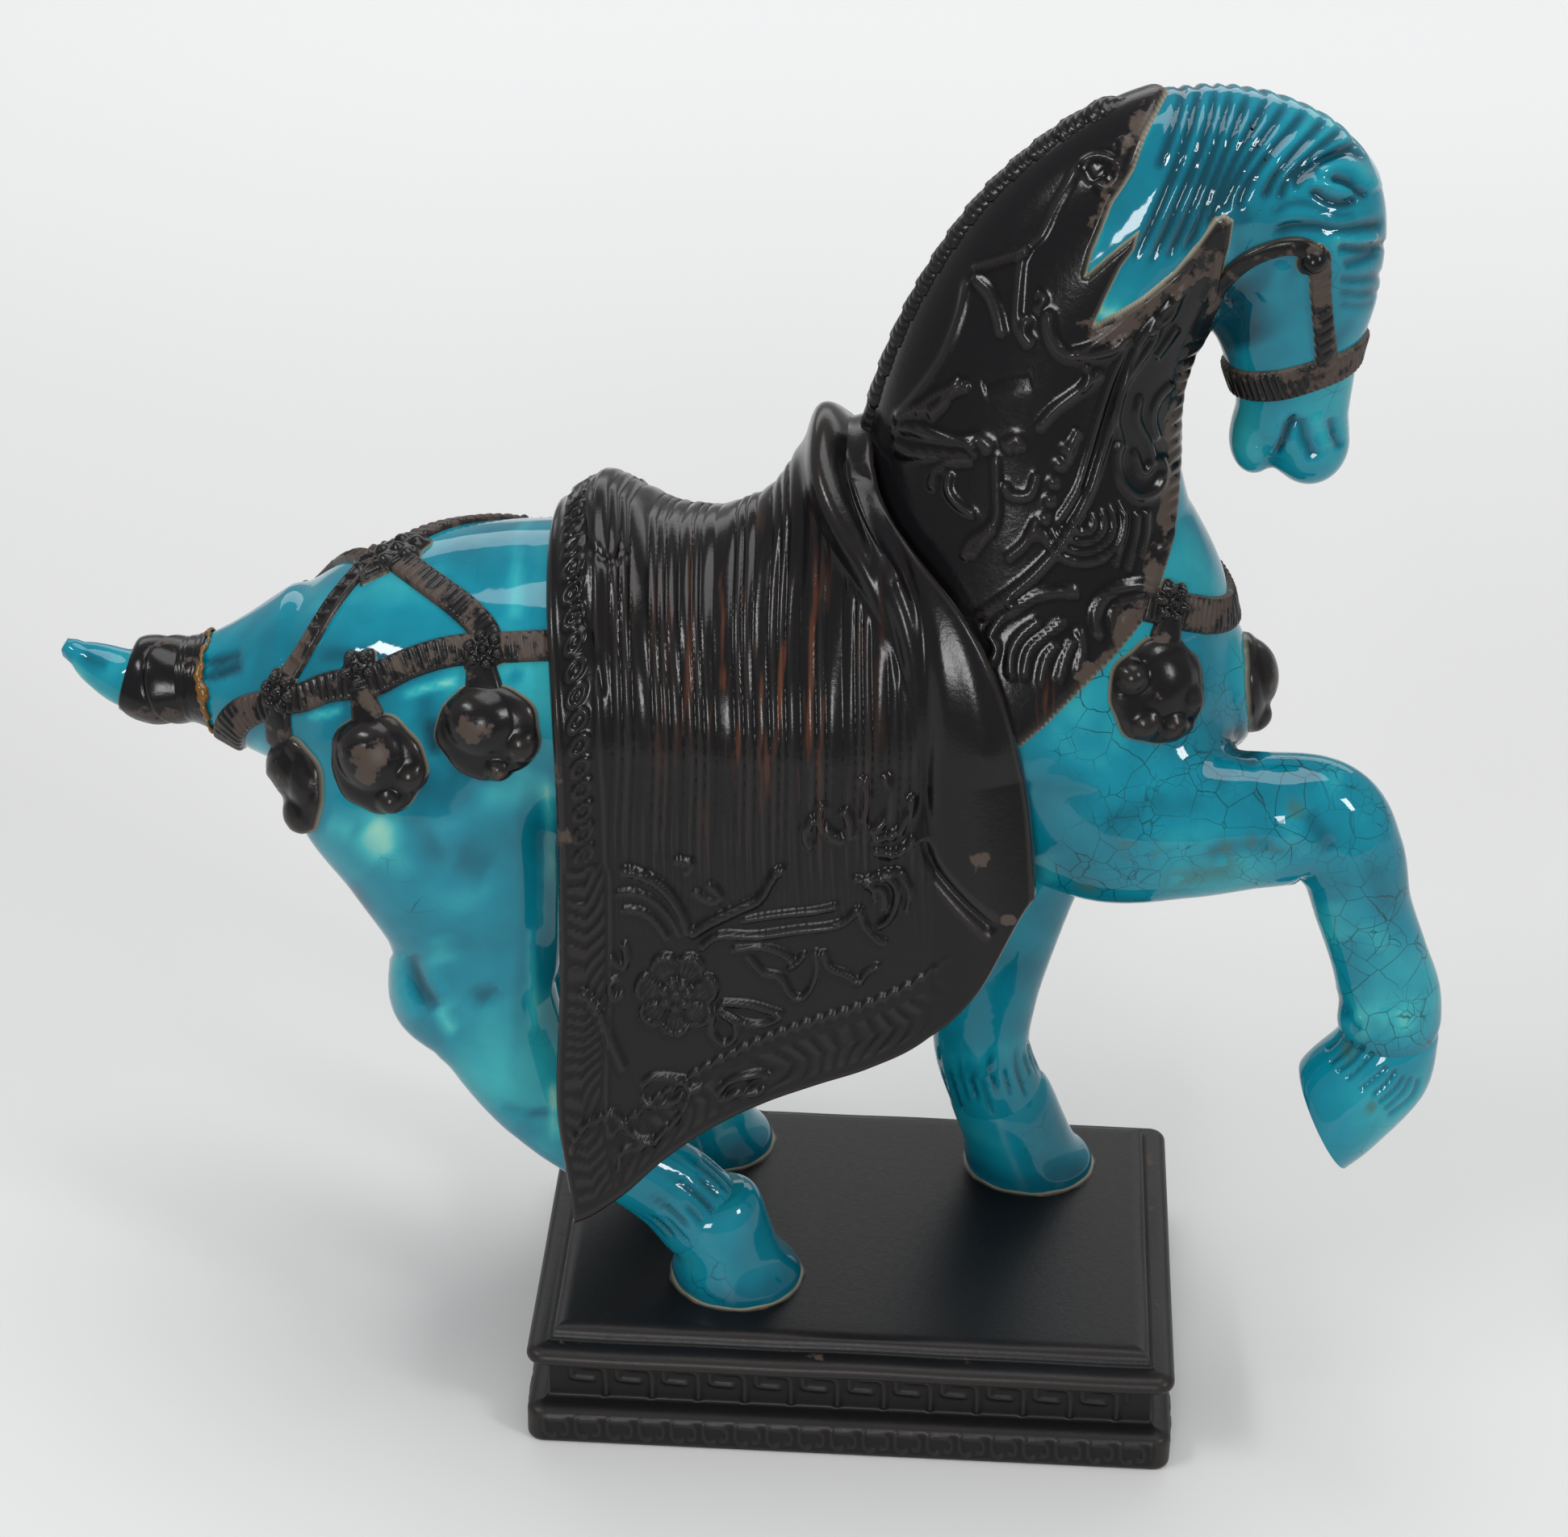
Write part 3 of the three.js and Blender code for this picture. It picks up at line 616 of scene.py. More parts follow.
# Enlarged parts of the view on which carving is drawn: their corner and scale.
sheets = {
    "head": ((1320, 80), 3.2),
    "neck": ((1060, 90), 2.0),
    "saddle": ((620, 480), 2.2),
    "skirt": ((640, 1050), 2.6),
    "rump": ((60, 580), 2.6),
    "legs": ((1130, 880), 2.4),
    "hind": ((370, 860), 1.9),
}


def onSheet(name, points, twins=True):
    corner, scale = sheets[name]
    return (drawnAt(points, twins) - corner) * scale


# Patches of darker (below 0) and paler glaze, as strokes: partly the glaze's own tone, partly painted light,
# such as the painted highlight along the front edge of the hind leg.
glazeTonesAndPaintedLight = {
    "hind": [
        # the thin pale strokes near x 550 to 605 follow the hind leg's front edge: a painted highlight
        (45, -0.2, [(230, 300), (290, 340), (330, 330)]), (50, -0.16, [(360, 390), (450, 430)]),
        (34, -0.28, [(300, -20), (306, 60), (322, 150)]), (34, -0.2, [(110, 440), (160, 540)]),
        (26, -0.08, [(262, 620), (285, 690), (322, 745)]), (30, -0.14, [(420, 700), (450, 720)]),
        (40, -0.1, [(560, 560), (570, 700)]), (42, 0.22, [(150, 310), (210, 390)]),
        (48, 0.26, [(400, 245), (510, 225), (560, 160)]), (16, 0.4, [(578, 180), (592, 300), (594, 460)]),
        (36, 0.16, [(330, 560), (345, 640)]), (18, 0.34, [(318, 715), (345, 770), (372, 800)]),
        (30, 0.2, [(60, 300), (130, 330)]), (16, 0.2, [(548, 545), (552, 660), (565, 800)]),
        (14, 0.3, [(600, 900), (604, 1060)]),
    ],
    "legs": [
        (46, -0.2, [(700, 235), (770, 295), (900, 255)]), (40, -0.14, [(560, 330), (700, 290)]),
        (60, -0.16, [(850, 170), (960, 200)]), (36, -0.24, [(958, 50), (980, 120), (1030, 150)]),
        (50, -0.14, [(1340, 430), (1400, 560), (1420, 700)]), (44, -0.26, [(320, 640), (370, 710)]),
        (40, -0.16, [(180, 870), (180, 1010)]), (26, -0.4, [(1175, 1030), (1215, 985), (1250, 960)]),
        (14, 0.5, [(312, 145), (305, 250), (320, 400), (352, 560)]), (44, 0.16, [(390, 420), (420, 520)]),
        (50, 0.12, [(1200, 200), (1290, 210)]), (60, 0.16, [(1240, 560), (1270, 700)]),
        (46, 0.18, [(1300, 900), (1350, 990)]), (60, 0.18, [(1210, 1150), (1290, 1290)]),
        (30, 0.2, [(1440, 880), (1480, 960)]), (40, 0.14, [(1180, 840), (1250, 900)]),
    ],
    "head": [
        (110, -0.5, [(650, 840), (740, 1130)]), (60, 0.06, [(850, 880), (860, 1100)]),
        (26, 0.3, [(110, 780), (145, 980), (230, 960)]), (22, 0.25, [(640, 640), (640, 780)]),
        (14, 0.4, [(390, 100), (300, 300), (180, 520), (95, 810)]), (40, -0.18, [(690, 560), (720, 640)]),
        (30, -0.16, [(1000, 1180), (1150, 1000)]),
    ],
    "rump": [
        (50, 0.2, [(1000, 1130), (1200, 1180), (1420, 1080)]), (22, -0.3, [(1230, 800), (1250, 930)]),
        (26, -0.24, [(860, 600), (1000, 600), (1150, 585)]), (30, -0.2, [(1480, 660), (1530, 680)]),
        (16, 0.4, [(820, 800), (900, 790), (960, 770)]), (16, 0.4, [(1120, 740), (1250, 700), (1330, 680)]),
        (24, 0.2, [(1510, 200), (1505, 400), (1500, 500)]), (30, -0.2, [(520, 640), (640, 640)]),
        (30, 0.25, [(660, 860), (740, 1040)]), (24, -0.28, [(100, 600), (200, 640)]),
        (22, 0.3, [(70, 600), (130, 720), (220, 770)]),
    ],
}
# Olive stains over the crazing, as strokes.
glazeStains = {"legs": [
    (34, 0.9, [(600, 410), (680, 400), (740, 440)]), (26, 0.8, [(850, 420), (930, 410), (900, 460)]),
    (26, 0.8, [(980, 400), (1060, 395), (1130, 440)]), (30, 0.7, [(720, 520), (850, 490), (1000, 460)]),
    (24, 0.9, [(1110, 290), (1140, 290), (1150, 330)]), (22, 0.7, [(470, 530), (560, 530)]),
    (26, 0.9, [(1330, 950), (1295, 1010), (1275, 1060)]), (22, 0.9, [(1350, 1170), (1380, 1190)]),
]}


# The hair over each hoof: the limb, where the cuts start and end along it, and how many go round.
fetlocks = {
    "nearHindLeg": {"from": 0.85, "to": 0.97, "cuts": 22},
    "farHindLeg": {"from": 0.85, "to": 0.97, "cuts": 22},
    "farForeleg": {"from": 0.8, "to": 0.95, "cuts": 24},
}
hairLook = {"depth": 0.85, "width": 0.75, "reach": 26, "fine": 19, "tuck": 1.3, "tuckFrom": (0.93, 1)}


# The cuts in the hair of the raised leg, which fall over its hoof.
raisedCuts = [(6, -0.75, line) for line in (
    [(1280, 955), (1258, 985), (1231, 1008)], [(1313, 982), (1277, 1022), (1241, 1051)],
    [(1344, 996), (1306, 1042), (1262, 1073)], [(1373, 1018), (1334, 1061), (1291, 1102)],
    [(1416, 1054), (1378, 1092), (1330, 1130)], [(1442, 1066), (1411, 1109), (1368, 1147)],
    [(1466, 1085), (1435, 1128), (1387, 1169)], [(1486, 1087), (1459, 1138), (1402, 1190)],
    [(1507, 1090), (1488, 1147), (1411, 1210)],
)]
legEnds = ("raisedForeleg", *fetlocks)


# How far the raised leg's end draws in, so that it dives into its hoof without a ledge.
def tucked(points):
    end = np.array(limbs["raisedForeleg"][-1][:3])
    near = np.flatnonzero(np.linalg.norm(points - end, axis=1) < hairLook["reach"])
    drawnIn = np.zeros(len(points))
    share = limbPlace("raisedForeleg", points[near])[0]
    drawnIn[near] = hairLook["tuck"] * ease(share, *hairLook["tuckFrom"])
    return drawnIn


# Short tapering cuts along a limb: each cut is a Gaussian across the angle round the limb, with its
# own start, end and depth, taken from a sine of its number.
def hairRelief(points):
    relief = np.zeros(len(points))
    for name, hair in fetlocks.items():
        near = np.flatnonzero(np.linalg.norm(points - limbs[name][-1][:3], axis=1) < hairLook["reach"])
        place, _, across, side, half, wide = limbPlace(name, points[near])
        angle = np.arctan2(side / wide, across / half)
        turn = (angle / (2 * np.pi) + 0.05 * (place - hair["from"])) * hair["cuts"]
        number = np.round(turn)
        off = (turn - number - 0.22 * np.sin(number * 5.3)) * 2 * np.pi * half / hair["cuts"]
        start = hair["from"] + 0.035 * np.sin(number * 2.7)
        end = hair["to"] + 0.03 * np.sin(number * 4.1 + 1)
        middle = (place - start) / (end - start)
        body = ease(middle, 0, 0.35) * (1 - ease(middle, 0.7, 1))
        strong = 0.75 + 0.25 * np.sin(number * 3.3)
        inside = np.hypot(across / half, side / wide) < 1.4
        relief[near] -= hairLook["depth"] * strong * body * np.exp(-(off / hairLook["width"])**2) * inside
    return relief


bodyLook = {"voxel": 1.55, "handOver": (240, 246), "under": 0.6, "neckTop": 0.3, "tailTip": -212.6}

# Muscle and crease strokes of the hind leg and of the raised foreleg.
hindStrokes = [
    (20, -0.8, [(262, 610), (288, 690), (328, 745)]),
    (24, 0.9, [(232, 610), (245, 700), (280, 770)]),
    (20, 0.6, [(300, 620), (330, 690), (372, 740)]),
    (20, -0.4, [(410, 690), (440, 715), (470, 690)]),
    (12, 0.5, [(552, 545), (550, 640), (560, 800)]),
    (40, 0.6, [(330, 830), (430, 900), (540, 1010)]),
    (10, -0.7, [(480, 965), (540, 985), (600, 985)]),
]
# Strands cut at the root of the tail.
tailRootStrokes = [
    (16, -0.9, [(496, 624), (555, 615), (622, 594)]), (16, -0.9, [(496, 674), (560, 661), (620, 634)]),
]
legStrokes = [
    (30, -0.5, [(1170, 300), (1200, 350), (1250, 420)]),
    (34, 0.6, [(1110, 290), (1130, 340), (1100, 420)]),
    (26, -0.6, [(960, 60), (975, 110), (1040, 150)]),
    (34, 0.6, [(1300, 400), (1350, 560), (1390, 720)]),
    (28, 0.7, [(1310, 900), (1370, 900), (1420, 930)]),
    (20, -0.5, [(1250, 840), (1290, 900), (1330, 960)]),
    (22, -0.4, [(870, 430), (960, 410), (1080, 400), (1150, 430)]),
]


def makeBody():
    look = bodyLook
    skins = [closedGrid(limbRings(name, np.linspace(0, 1, 60), 64)) for name in limbs
             if name not in ("neck", "head")]
    skins.append(closedGrid(limbRings("neck", np.linspace(0, look["neckTop"], 30), 64)))
    ends = np.array([limbs[name][-1][:3] for name in legEnds])

    def nearHair(points):
        return np.linalg.norm(points[:, None] - ends, axis=2).min(1) < hairLook["fine"]

    points, triangles = melted("body", skins, look["voxel"], nearHair)
    neckEnd = limbFrames("neck", np.array([look["neckTop"]]))
    past = ((points - neckEnd["centre"][0]) * neckEnd["along"][0]).sum(1)
    free = np.where((points[:, 0] > -30) & (past > -1.5), 0, 1)
    low, high = look["handOver"]
    shrunk = -look["under"] * ease(points[:, 2], low, high) * ease(points[:, 0], -20, 20)
    points = settled(points, triangles, grow=shrunk - tucked(points), free=free)
    near = points[:, 1] < -8
    relief = hairRelief(points)
    relief += strokes(onSheet("hind", points, False), hindStrokes) * near * (points[:, 0] < -20)
    relief += strokes(onSheet("legs", points, False), legStrokes + raisedCuts) * near * (points[:, 0] > 20)
    relief += strokes(onSheet("rump", points), tailRootStrokes)
    points = points + relief[:, None] * normalsOf(points, triangles)
    points[:, 0] = np.maximum(points[:, 0], look["tailTip"])
    legs = onSheet("legs", points, False)
    crazed = 0.3 * ease(points[:, 0], 30, 60) * near - 0.2 * (points[:, 0] < -140)
    values = glazeValues(points, triangles, relief, crazed=crazed,
                         stain=strokes(legs, glazeStains["legs"], 0.3) * near * (points[:, 0] > 20))
    addPiece("horseBody", points, triangles, glaze, values)


# The head's carving: grooves of the mane and brow, the closed eye, folds of the nose, the mouth.
headStrokes = [
    (17, -0.85, [(470, 75), (455, 150), (430, 240), (400, 330), (365, 420)]),
    (17, -1.05, [(530, 75), (512, 170), (482, 280), (445, 390), (400, 500), (340, 640), (270, 780)]),
    (17, -1.05, [(598, 75), (575, 200), (540, 320), (500, 430), (452, 540), (400, 660), (330, 800)]),
    (17, -1.05, [(660, 80), (632, 200), (596, 320), (556, 430), (512, 540), (458, 660), (400, 780)]),
    (17, -1.05, [(735, 88), (692, 200), (650, 310), (612, 410), (566, 530), (520, 650), (470, 750)]),
    (17, -1.05, [(815, 100), (765, 200), (712, 300), (668, 390), (630, 480), (592, 580), (560, 660)]),
    (17, -1.05, [(890, 130), (820, 240), (755, 330), (700, 420), (655, 510), (622, 590)]),
    (17, -1.05, [(965, 165), (892, 260), (818, 345), (752, 430), (700, 520), (690, 580)]),
    (17, -1.05, [(1040, 205), (965, 290), (895, 370), (830, 450), (785, 540)]),
    (17, -1.05, [(1110, 250), (1020, 320), (940, 395), (880, 465), (850, 545)]),
    (17, -0.85, [(1175, 300), (1090, 345), (1005, 390), (935, 445), (915, 500)]),
    (34, 1.0, [(992, 430), (1062, 405), (1139, 416), (1203, 461), (1229, 499)]),
    (20, 0.9, [(972, 470), (1024, 476), (1088, 493), (1146, 512)]),
    (15, -1.1, [(1050, 447), (1107, 463), (1158, 499), (1200, 520)]),
    (17, -1.3, [(972, 492), (1024, 531), (1069, 549), (1114, 549), (1156, 530)]),
    (20, -1.0, [(934, 470), (938, 442), (986, 400), (1043, 365), (1101, 342), (1152, 346), (1200, 378)]),
    (18, -0.5, [(819, 602), (883, 557), (960, 552), (1024, 576), (1088, 597), (1160, 597)]),
    (22, -1.0, [(826, 659), (909, 642), (992, 642), (1088, 655), (1184, 642), (1270, 625)]),
    (18, 0.8, [(1062, 689), (1152, 697), (1240, 680)]),
    (19, -1.0, [(1078, 718), (1152, 728), (1225, 720), (1278, 702)]),
    (20, -0.7, [(1100, 796), (1178, 770), (1240, 744)]),
    (16, -0.6, [(1085, 852), (1180, 850), (1268, 826)]),
    (15, -0.5, [(1085, 905), (1170, 908), (1248, 892)]),
    (13, -0.4, [(1085, 950), (1150, 958), (1222, 944)]),
    (15, -1.4, [(830, 1550), (862, 1490), (885, 1430), (915, 1395)]),
    (21, -0.8, [(935, 1400), (950, 1480), (985, 1560)]),
    (16, -0.8, [(1050, 1400), (1065, 1470), (1095, 1515)]),
    (26, 0.6, [(990, 1390), (1012, 1450), (1040, 1520)]),
    (30, 0.6, [(860, 790), (830, 870), (780, 930)]),
]
headLook = {"voxel": 0.94, "starts": 0.13, "poll": (93, 0, 362), "pollReach": (16, 26), "top": 371.8}


def makeHead():
    look = headLook
    skins = [
        closedGrid(limbRings("neck", np.linspace(look["starts"], 1, 60), 64)),
        closedGrid(limbRings("head", np.linspace(0, 1, 50), 64)),
    ]
    for name in ("upperLip", "lowerLip"):
        centre, half, turn = lumps[name]
        height = np.linspace(-0.97, 0.97, 24)[:, None]
        angle = np.linspace(0, 2 * np.pi, 32, endpoint=False)[None]
        ring = np.sqrt(1 - height**2)
        ball = np.stack([ring * np.cos(angle), ring * np.sin(angle), height + 0 * angle], -1)
        skins.append(closedGrid(ball * half + centre))
    points, triangles = melted("head", skins, look["voxel"])
    start = limbFrames("neck", np.array([look["starts"]]))
    past = ((points - start["centre"][0]) * start["along"][0]).sum(1)
    points = settled(points, triangles, free=np.where(past < 1.2, 0, 1),
                     names=["torso", "neck", "head", "upperLip", "lowerLip"])
    fromPoll = np.linalg.norm(points - look["poll"], axis=1)
    points = relaxed(points, triangles, 0.5 * (1 - ease(fromPoll, *look["pollReach"])))
    relief = strokes(onSheet("head", points), headStrokes)
    points = points + relief[:, None] * normalsOf(points, triangles)
    points[:, 2] = np.minimum(points[:, 2], look["top"])
    values = glazeValues(points, triangles, relief, crazed=np.full(len(points), 0.08))
    addPiece("horseHead", points, triangles, glaze, values)


# Each hoof from inside the hair to its sole: both ends of an oval in x and z, middle y, half width.
hooves = {
    "nearHindHoof": [
        (-58, 56, -31, 64, -26, 10), (-56.5, 52.5, -26.5, 60.5, -26, 12.6), (-50, 44, -21, 44, -26, 14.5),
        (-50.5, 37, -15.5, 37, -25.5, 16.6), (-50, 34.4, -15, 34.4, -25.5, 16.8),
    ],
    "farHindHoof": [
        (-69, 56, -42, 64, 37, 10), (-67.5, 52.5, -37.5, 60.5, 37, 12.6), (-61, 44, -32, 44, 37, 14.5),
        (-61, 37, -27, 37, 37.5, 16.2), (-60.5, 34.4, -26.5, 34.4, 37.5, 16.3),
    ],
    "farForeHoof": [
        (24, 60, 50, 64, 33, 10), (24, 55.5, 53, 59.5, 33, 13), (28, 44, 60, 43, 33, 15),
        (29, 37, 65, 37, 33.5, 16.2), (29.5, 34.4, 65.5, 34.4, 33.5, 16.3),
    ],
    "raisedHoof": [
        (126, 126, 150, 128, -29, 10), (123, 121, 151, 123, -29, 12.3), (118, 115.5, 149, 108, -29, 14),
        (115.8, 112, 138, 92, -29, 14.9), (115.8, 110, 130.5, 84, -29, 14.8),
    ],
}
hoofLook = {"rings": 32, "sides": 64, "soleRound": (0.995, 0.97, 0.9, 0.7, 0.35), "soleDrop": 0.35}


# A hoof: ovals between smoothly changing end points, closed by a slightly rounded sole.
def makeHoof(name):
    look = hoofLook
    raised = name == "raisedHoof"
    finer = 2 if raised else 1
    rows = curveAt(hooves[name], np.linspace(0, 1, finer * look["rings"]))
    angle = np.linspace(0, 2 * np.pi, finer * look["sides"], endpoint=False)[None, :, None]
    front, back = rows[:, [2, 4, 3]], rows[:, [0, 4, 1]]
    middle, reach = (front + back) / 2, (front - back) / 2
    wide = rows[:, 5:6] * [[0, 1, 0]]
    rings = middle[:, None] + np.cos(angle) * reach[:, None] + np.sin(angle) * wide[:, None]
    sole = np.cross(wide[-1], reach[-1])
    sole = sole / np.linalg.norm(sole) * look["soleDrop"]
    if not raised:
        sole = np.array([0, 0, -look["soleDrop"]])
    last = rings[-1] - middle[-1]
    closing = [middle[-1] + last * share + sole * (i + 1) / len(look["soleRound"])
               for i, share in enumerate(look["soleRound"])]
    rings = np.concatenate([rings, closing])
    points, faces = closedGrid(rings)
    mesh = meshOf(name, points, faces)
    triangles = trianglesOf(mesh)
    bpy.data.meshes.remove(mesh)
    if (normalsOf(points, triangles) * (points - points.mean(0))).sum() < 0:
        triangles = triangles[:, ::-1]
    cuts = strokes(onSheet("legs", points), raisedCuts) if raised else np.zeros(len(points))
    points = points + cuts[:, None] * normalsOf(points, triangles)
    pooled = 0 if raised else ease(points[:, 2], 44, 36)
    values = {
        "tone": 0.54 + glazePools["cut"] * cuts - 0.25 * pooled,
        "crazed": np.full(len(points), 0.12),
        "stain": strokes(onSheet("legs", points), glazeStains["legs"], 0.3) * raised,
    }
    addPiece(name, points, triangles, glaze, values)


print("making the glazed horse")
makeBody()
makeHead()
for hoofName in hooves:
    makeHoof(hoofName)


# Worn ridges and painted shade in the hollows of the unglazed black.
def biscuitValues(points, triangles, depth=0.12, **others):
    return {"hollowShadeRidgeWear": np.clip(hollowness(points, triangles, 1) / depth, -0.5, 0.5)} | others


# Quads as pairs of triangles.
def split(quads):
    quads = np.asarray(quads)
    return np.concatenate([quads[:, [0, 1, 2]], quads[:, [0, 2, 3]]])


# Triangles turned to face outwards, told by the sign of the volume that they close.
def outward(points, triangles):
    a, b, c = (points[triangles[:, k]] for k in range(3))
    volume = (a * np.cross(b, c)).sum()
    return triangles if volume > 0 else triangles[:, ::-1]


# A closed skin of triangles over rings, its ends closed by a fan round their middles.
def closedTriangles(rings):
    rows, columns = rings.shape[:2]
    points = np.concatenate([rings.reshape(-1, 3), rings[0].mean(0)[None], rings[-1].mean(0)[None]])
    around = np.arange(columns)
    after = (around + 1) % columns
    last = (rows - 1) * columns
    start = np.stack([np.full(columns, rows * columns), after, around], 1)
    end = np.stack([np.full(columns, rows * columns + 1), last + around, last + after], 1)
    return points, np.concatenate([split(gridFaces(rows, columns)), start, end])


# The plinth's profile from its underside up, as height and inset, with the frieze at its waist.
plinthLook = {
    "length": 176,
    "depth": 122,
    "corner": 5.2,
    "profile": [
        (0, 3), (0, 1.4), (0.25, 0.8), (0.9, 0.5), (1.6, 0.45), (4.8, 0.45), (8, 0.45), (8.9, 0.6), (9.6, 1),
        (10.4, 2.2), (11, 3.6), (11.6, 5.2), (12.2, 6), (13, 6.1), (18.4, 6.1), (24, 6.1), (24.6, 5.6),
        (24.8, 3.6), (25.1, 1.9), (25.9, 0.9), (27.2, 0.5), (28.6, 1), (29.6, 2.4), (30.1, 4.4),
        (30.3, 6.2), (30.9, 7), (32, 7.4), (33, 8), (33.7, 9.4), (34, 11.4), (34, 16), (34, 30), (34, 58),
    ],
    "rows": 92,
    "columns": {"front": 320, "right": 84, "back": 84, "left": 84},
    "arc": 7,
    "columnsPerSide": ("front", "right", "back", "left"),
}
# The keys: strokes over one pitch (0 to 1) and the band's height (0 to 1), both read from the left.
frets = [
    {
        "low": 12.6, "high": 24.4, "pitch": 12.6, "width": 0.75, "height": 0.62, "margin": 9,
        "lines": [
            [(0, 1.05), (0, 0.62), (0.03, 0.5), (0.15, 0.47), (0.48, 0.45)],
            [(0.27, 0.8), (0.45, 0.8), (0.62, 0.79), (0.73, 0.7), (0.755, 0.4), (0.755, -0.05)],
        ],
    },
    {
        "low": 1.2, "high": 8.6, "pitch": 8.7, "width": 0.55, "height": 0.42, "margin": 5,
        "lines": [
            [(0, 1), (0, 0.6), (0.05, 0.3), (0.22, 0.14), (0.36, 0.22)],
            [(0.1, 0.9), (0.4, 0.9), (0.66, 0.86), (0.76, 0.6), (0.7, 0.3), (0.56, 0.28)],
        ],
    },
]


# A rectangle with rounded corners round the plinth, for each height and inset of its profile.
def plinthRings(profile):
    look = plinthLook
    corner = look["corner"]
    halfX, halfY = look["length"] / 2 - corner, look["depth"] / 2 - corner
    turn = np.linspace(0, np.pi / 2, look["arc"], endpoint=False)
    x, y, outX, outY = [], [], [], []
    ends = [(-halfX, -halfY), (halfX, -halfY), (halfX, halfY), (-halfX, halfY)]
    for i, side in enumerate(look["columnsPerSide"]):
        start, end = np.array(ends[i]), np.array(ends[(i + 1) % 4])
        facing = np.pi / 2 * (i - 1)
        line = np.linspace(start, end, look["columns"][side])
        x += [line[:, 0], np.full(len(turn) - 1, end[0])]
        y += [line[:, 1], np.full(len(turn) - 1, end[1])]
        outX += [np.full(len(line), np.cos(facing)), np.cos(facing + turn[1:])]
        outY += [np.full(len(line), np.sin(facing)), np.sin(facing + turn[1:])]
    x, y, outX, outY = map(np.concatenate, (x, y, outX, outY))
    height, inset = profile[:, 0:1], profile[:, 1:2]
    shrinkX = np.maximum(1 - np.maximum(inset - corner, 0) / halfX, 0)
    shrinkY = np.maximum(1 - np.maximum(inset - corner, 0) / halfY, 0)
    round_ = corner - np.minimum(inset, corner)
    return np.stack([x * shrinkX + outX * round_, y * shrinkY + outY * round_,
                     height + 0 * x], -1), outX, outY


def fretRelief(rings, outX, outY):
    relief = np.zeros(rings.shape[:2])
    along = np.where(np.abs(outY) > 0.99, -np.sign(outY) * rings[..., 0], np.sign(outX) * rings[..., 1])
    flat = np.maximum(np.abs(outX), np.abs(outY)) > 0.99
    for fret in frets:
        rows = np.flatnonzero((rings[:, 0, 2] >= fret["low"]) & (rings[:, 0, 2] <= fret["high"]))
        tall = fret["high"] - fret["low"]
        s, z = along[rows][:, flat], rings[rows][:, flat, 2] - fret["low"]
        side = np.where(np.abs(outY[flat]) > 0.99, plinthLook["length"], plinthLook["depth"])
        half = side / 2 - fret["margin"]
        count = np.floor(2 * half / fret["pitch"])
        s = s + count * fret["pitch"] / 2
        inside = (s > -0.3) & (s < count * fret["pitch"])
        places = np.stack([s % fret["pitch"], z], -1).reshape(-1, 2)
        raised = np.zeros(len(places))
        for line in fret["lines"]:
            line = np.array(line) * [fret["pitch"], tall]
            for shift in (0, fret["pitch"]):
                gap, _ = lineDistance(places, line + [shift, 0], 3)
                raised = np.maximum(raised, np.exp(-(gap / fret["width"])**2))
        grid = relief[np.ix_(rows, np.flatnonzero(flat))]
        relief[np.ix_(rows, np.flatnonzero(flat))] = grid + fret["height"] * raised.reshape(s.shape) * inside
    return relief


def makePlinth():
    look = plinthLook
    profile = np.array(look["profile"], float)
    spots = np.linspace(0, 1, 2000)
    fine = curveAt(profile, spots)
    # Rows lie evenly along the profile, closer on the carved bands and sparse on the top.
    weight = np.linalg.norm(np.diff(fine, axis=0), axis=1)
    carved = (fine[1:, 0] > 1) & (fine[1:, 0] < 8.8) | (fine[1:, 0] > 12.4) & (fine[1:, 0] < 24.5)
    weight *= np.where(fine[1:, 1] > 12, 0.12, np.where(carved, 1.6, 1.2))
    travel = np.concatenate([[0], np.cumsum(weight)])
    rows = curveAt(profile, np.interp(np.linspace(0, travel[-1], look["rows"]), travel, spots))
    rows[:, 0] = np.clip(rows[:, 0], 0, 34)
    rings, outX, outY = plinthRings(rows)
    # The casting's edges run a little wavy.
    wave = 0.22 * np.sin(rings[..., 0] / 17 + 1.3) + 0.16 * np.sin(rings[..., 0] / 7.3 + rings[..., 1] / 11)
    moulding = ((rows[:, 0] > 24.7) & (rows[:, 1] < 9))[:, None]
    rings[..., 2] += wave * moulding * 0.6
    relief = fretRelief(rings, outX, outY)
    rings[..., 0] += relief * outX
    rings[..., 1] += relief * outY
    points, triangles = closedTriangles(rings)
    triangles = outward(points, triangles)
    ledge = np.exp(-((points[:, 2] - 30.3) / 0.55)**2)
    values = biscuitValues(points, triangles, worn=0.34 * ledge + 0.2 * np.append(relief.ravel(), [0, 0]),
                           polish=np.full(len(points), -0.08))
    piece = addPiece("plinthBlock", points, triangles, biscuit, values)
    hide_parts("plinth")


# Where glaze ran down each standing hoof: a thin cream bead, rusty outside, that sinks into the top.
footLook = {"reach": 3.4, "height": 0.75, "sunk": 0.3, "rings": 14, "sides": 96, "level": 34}


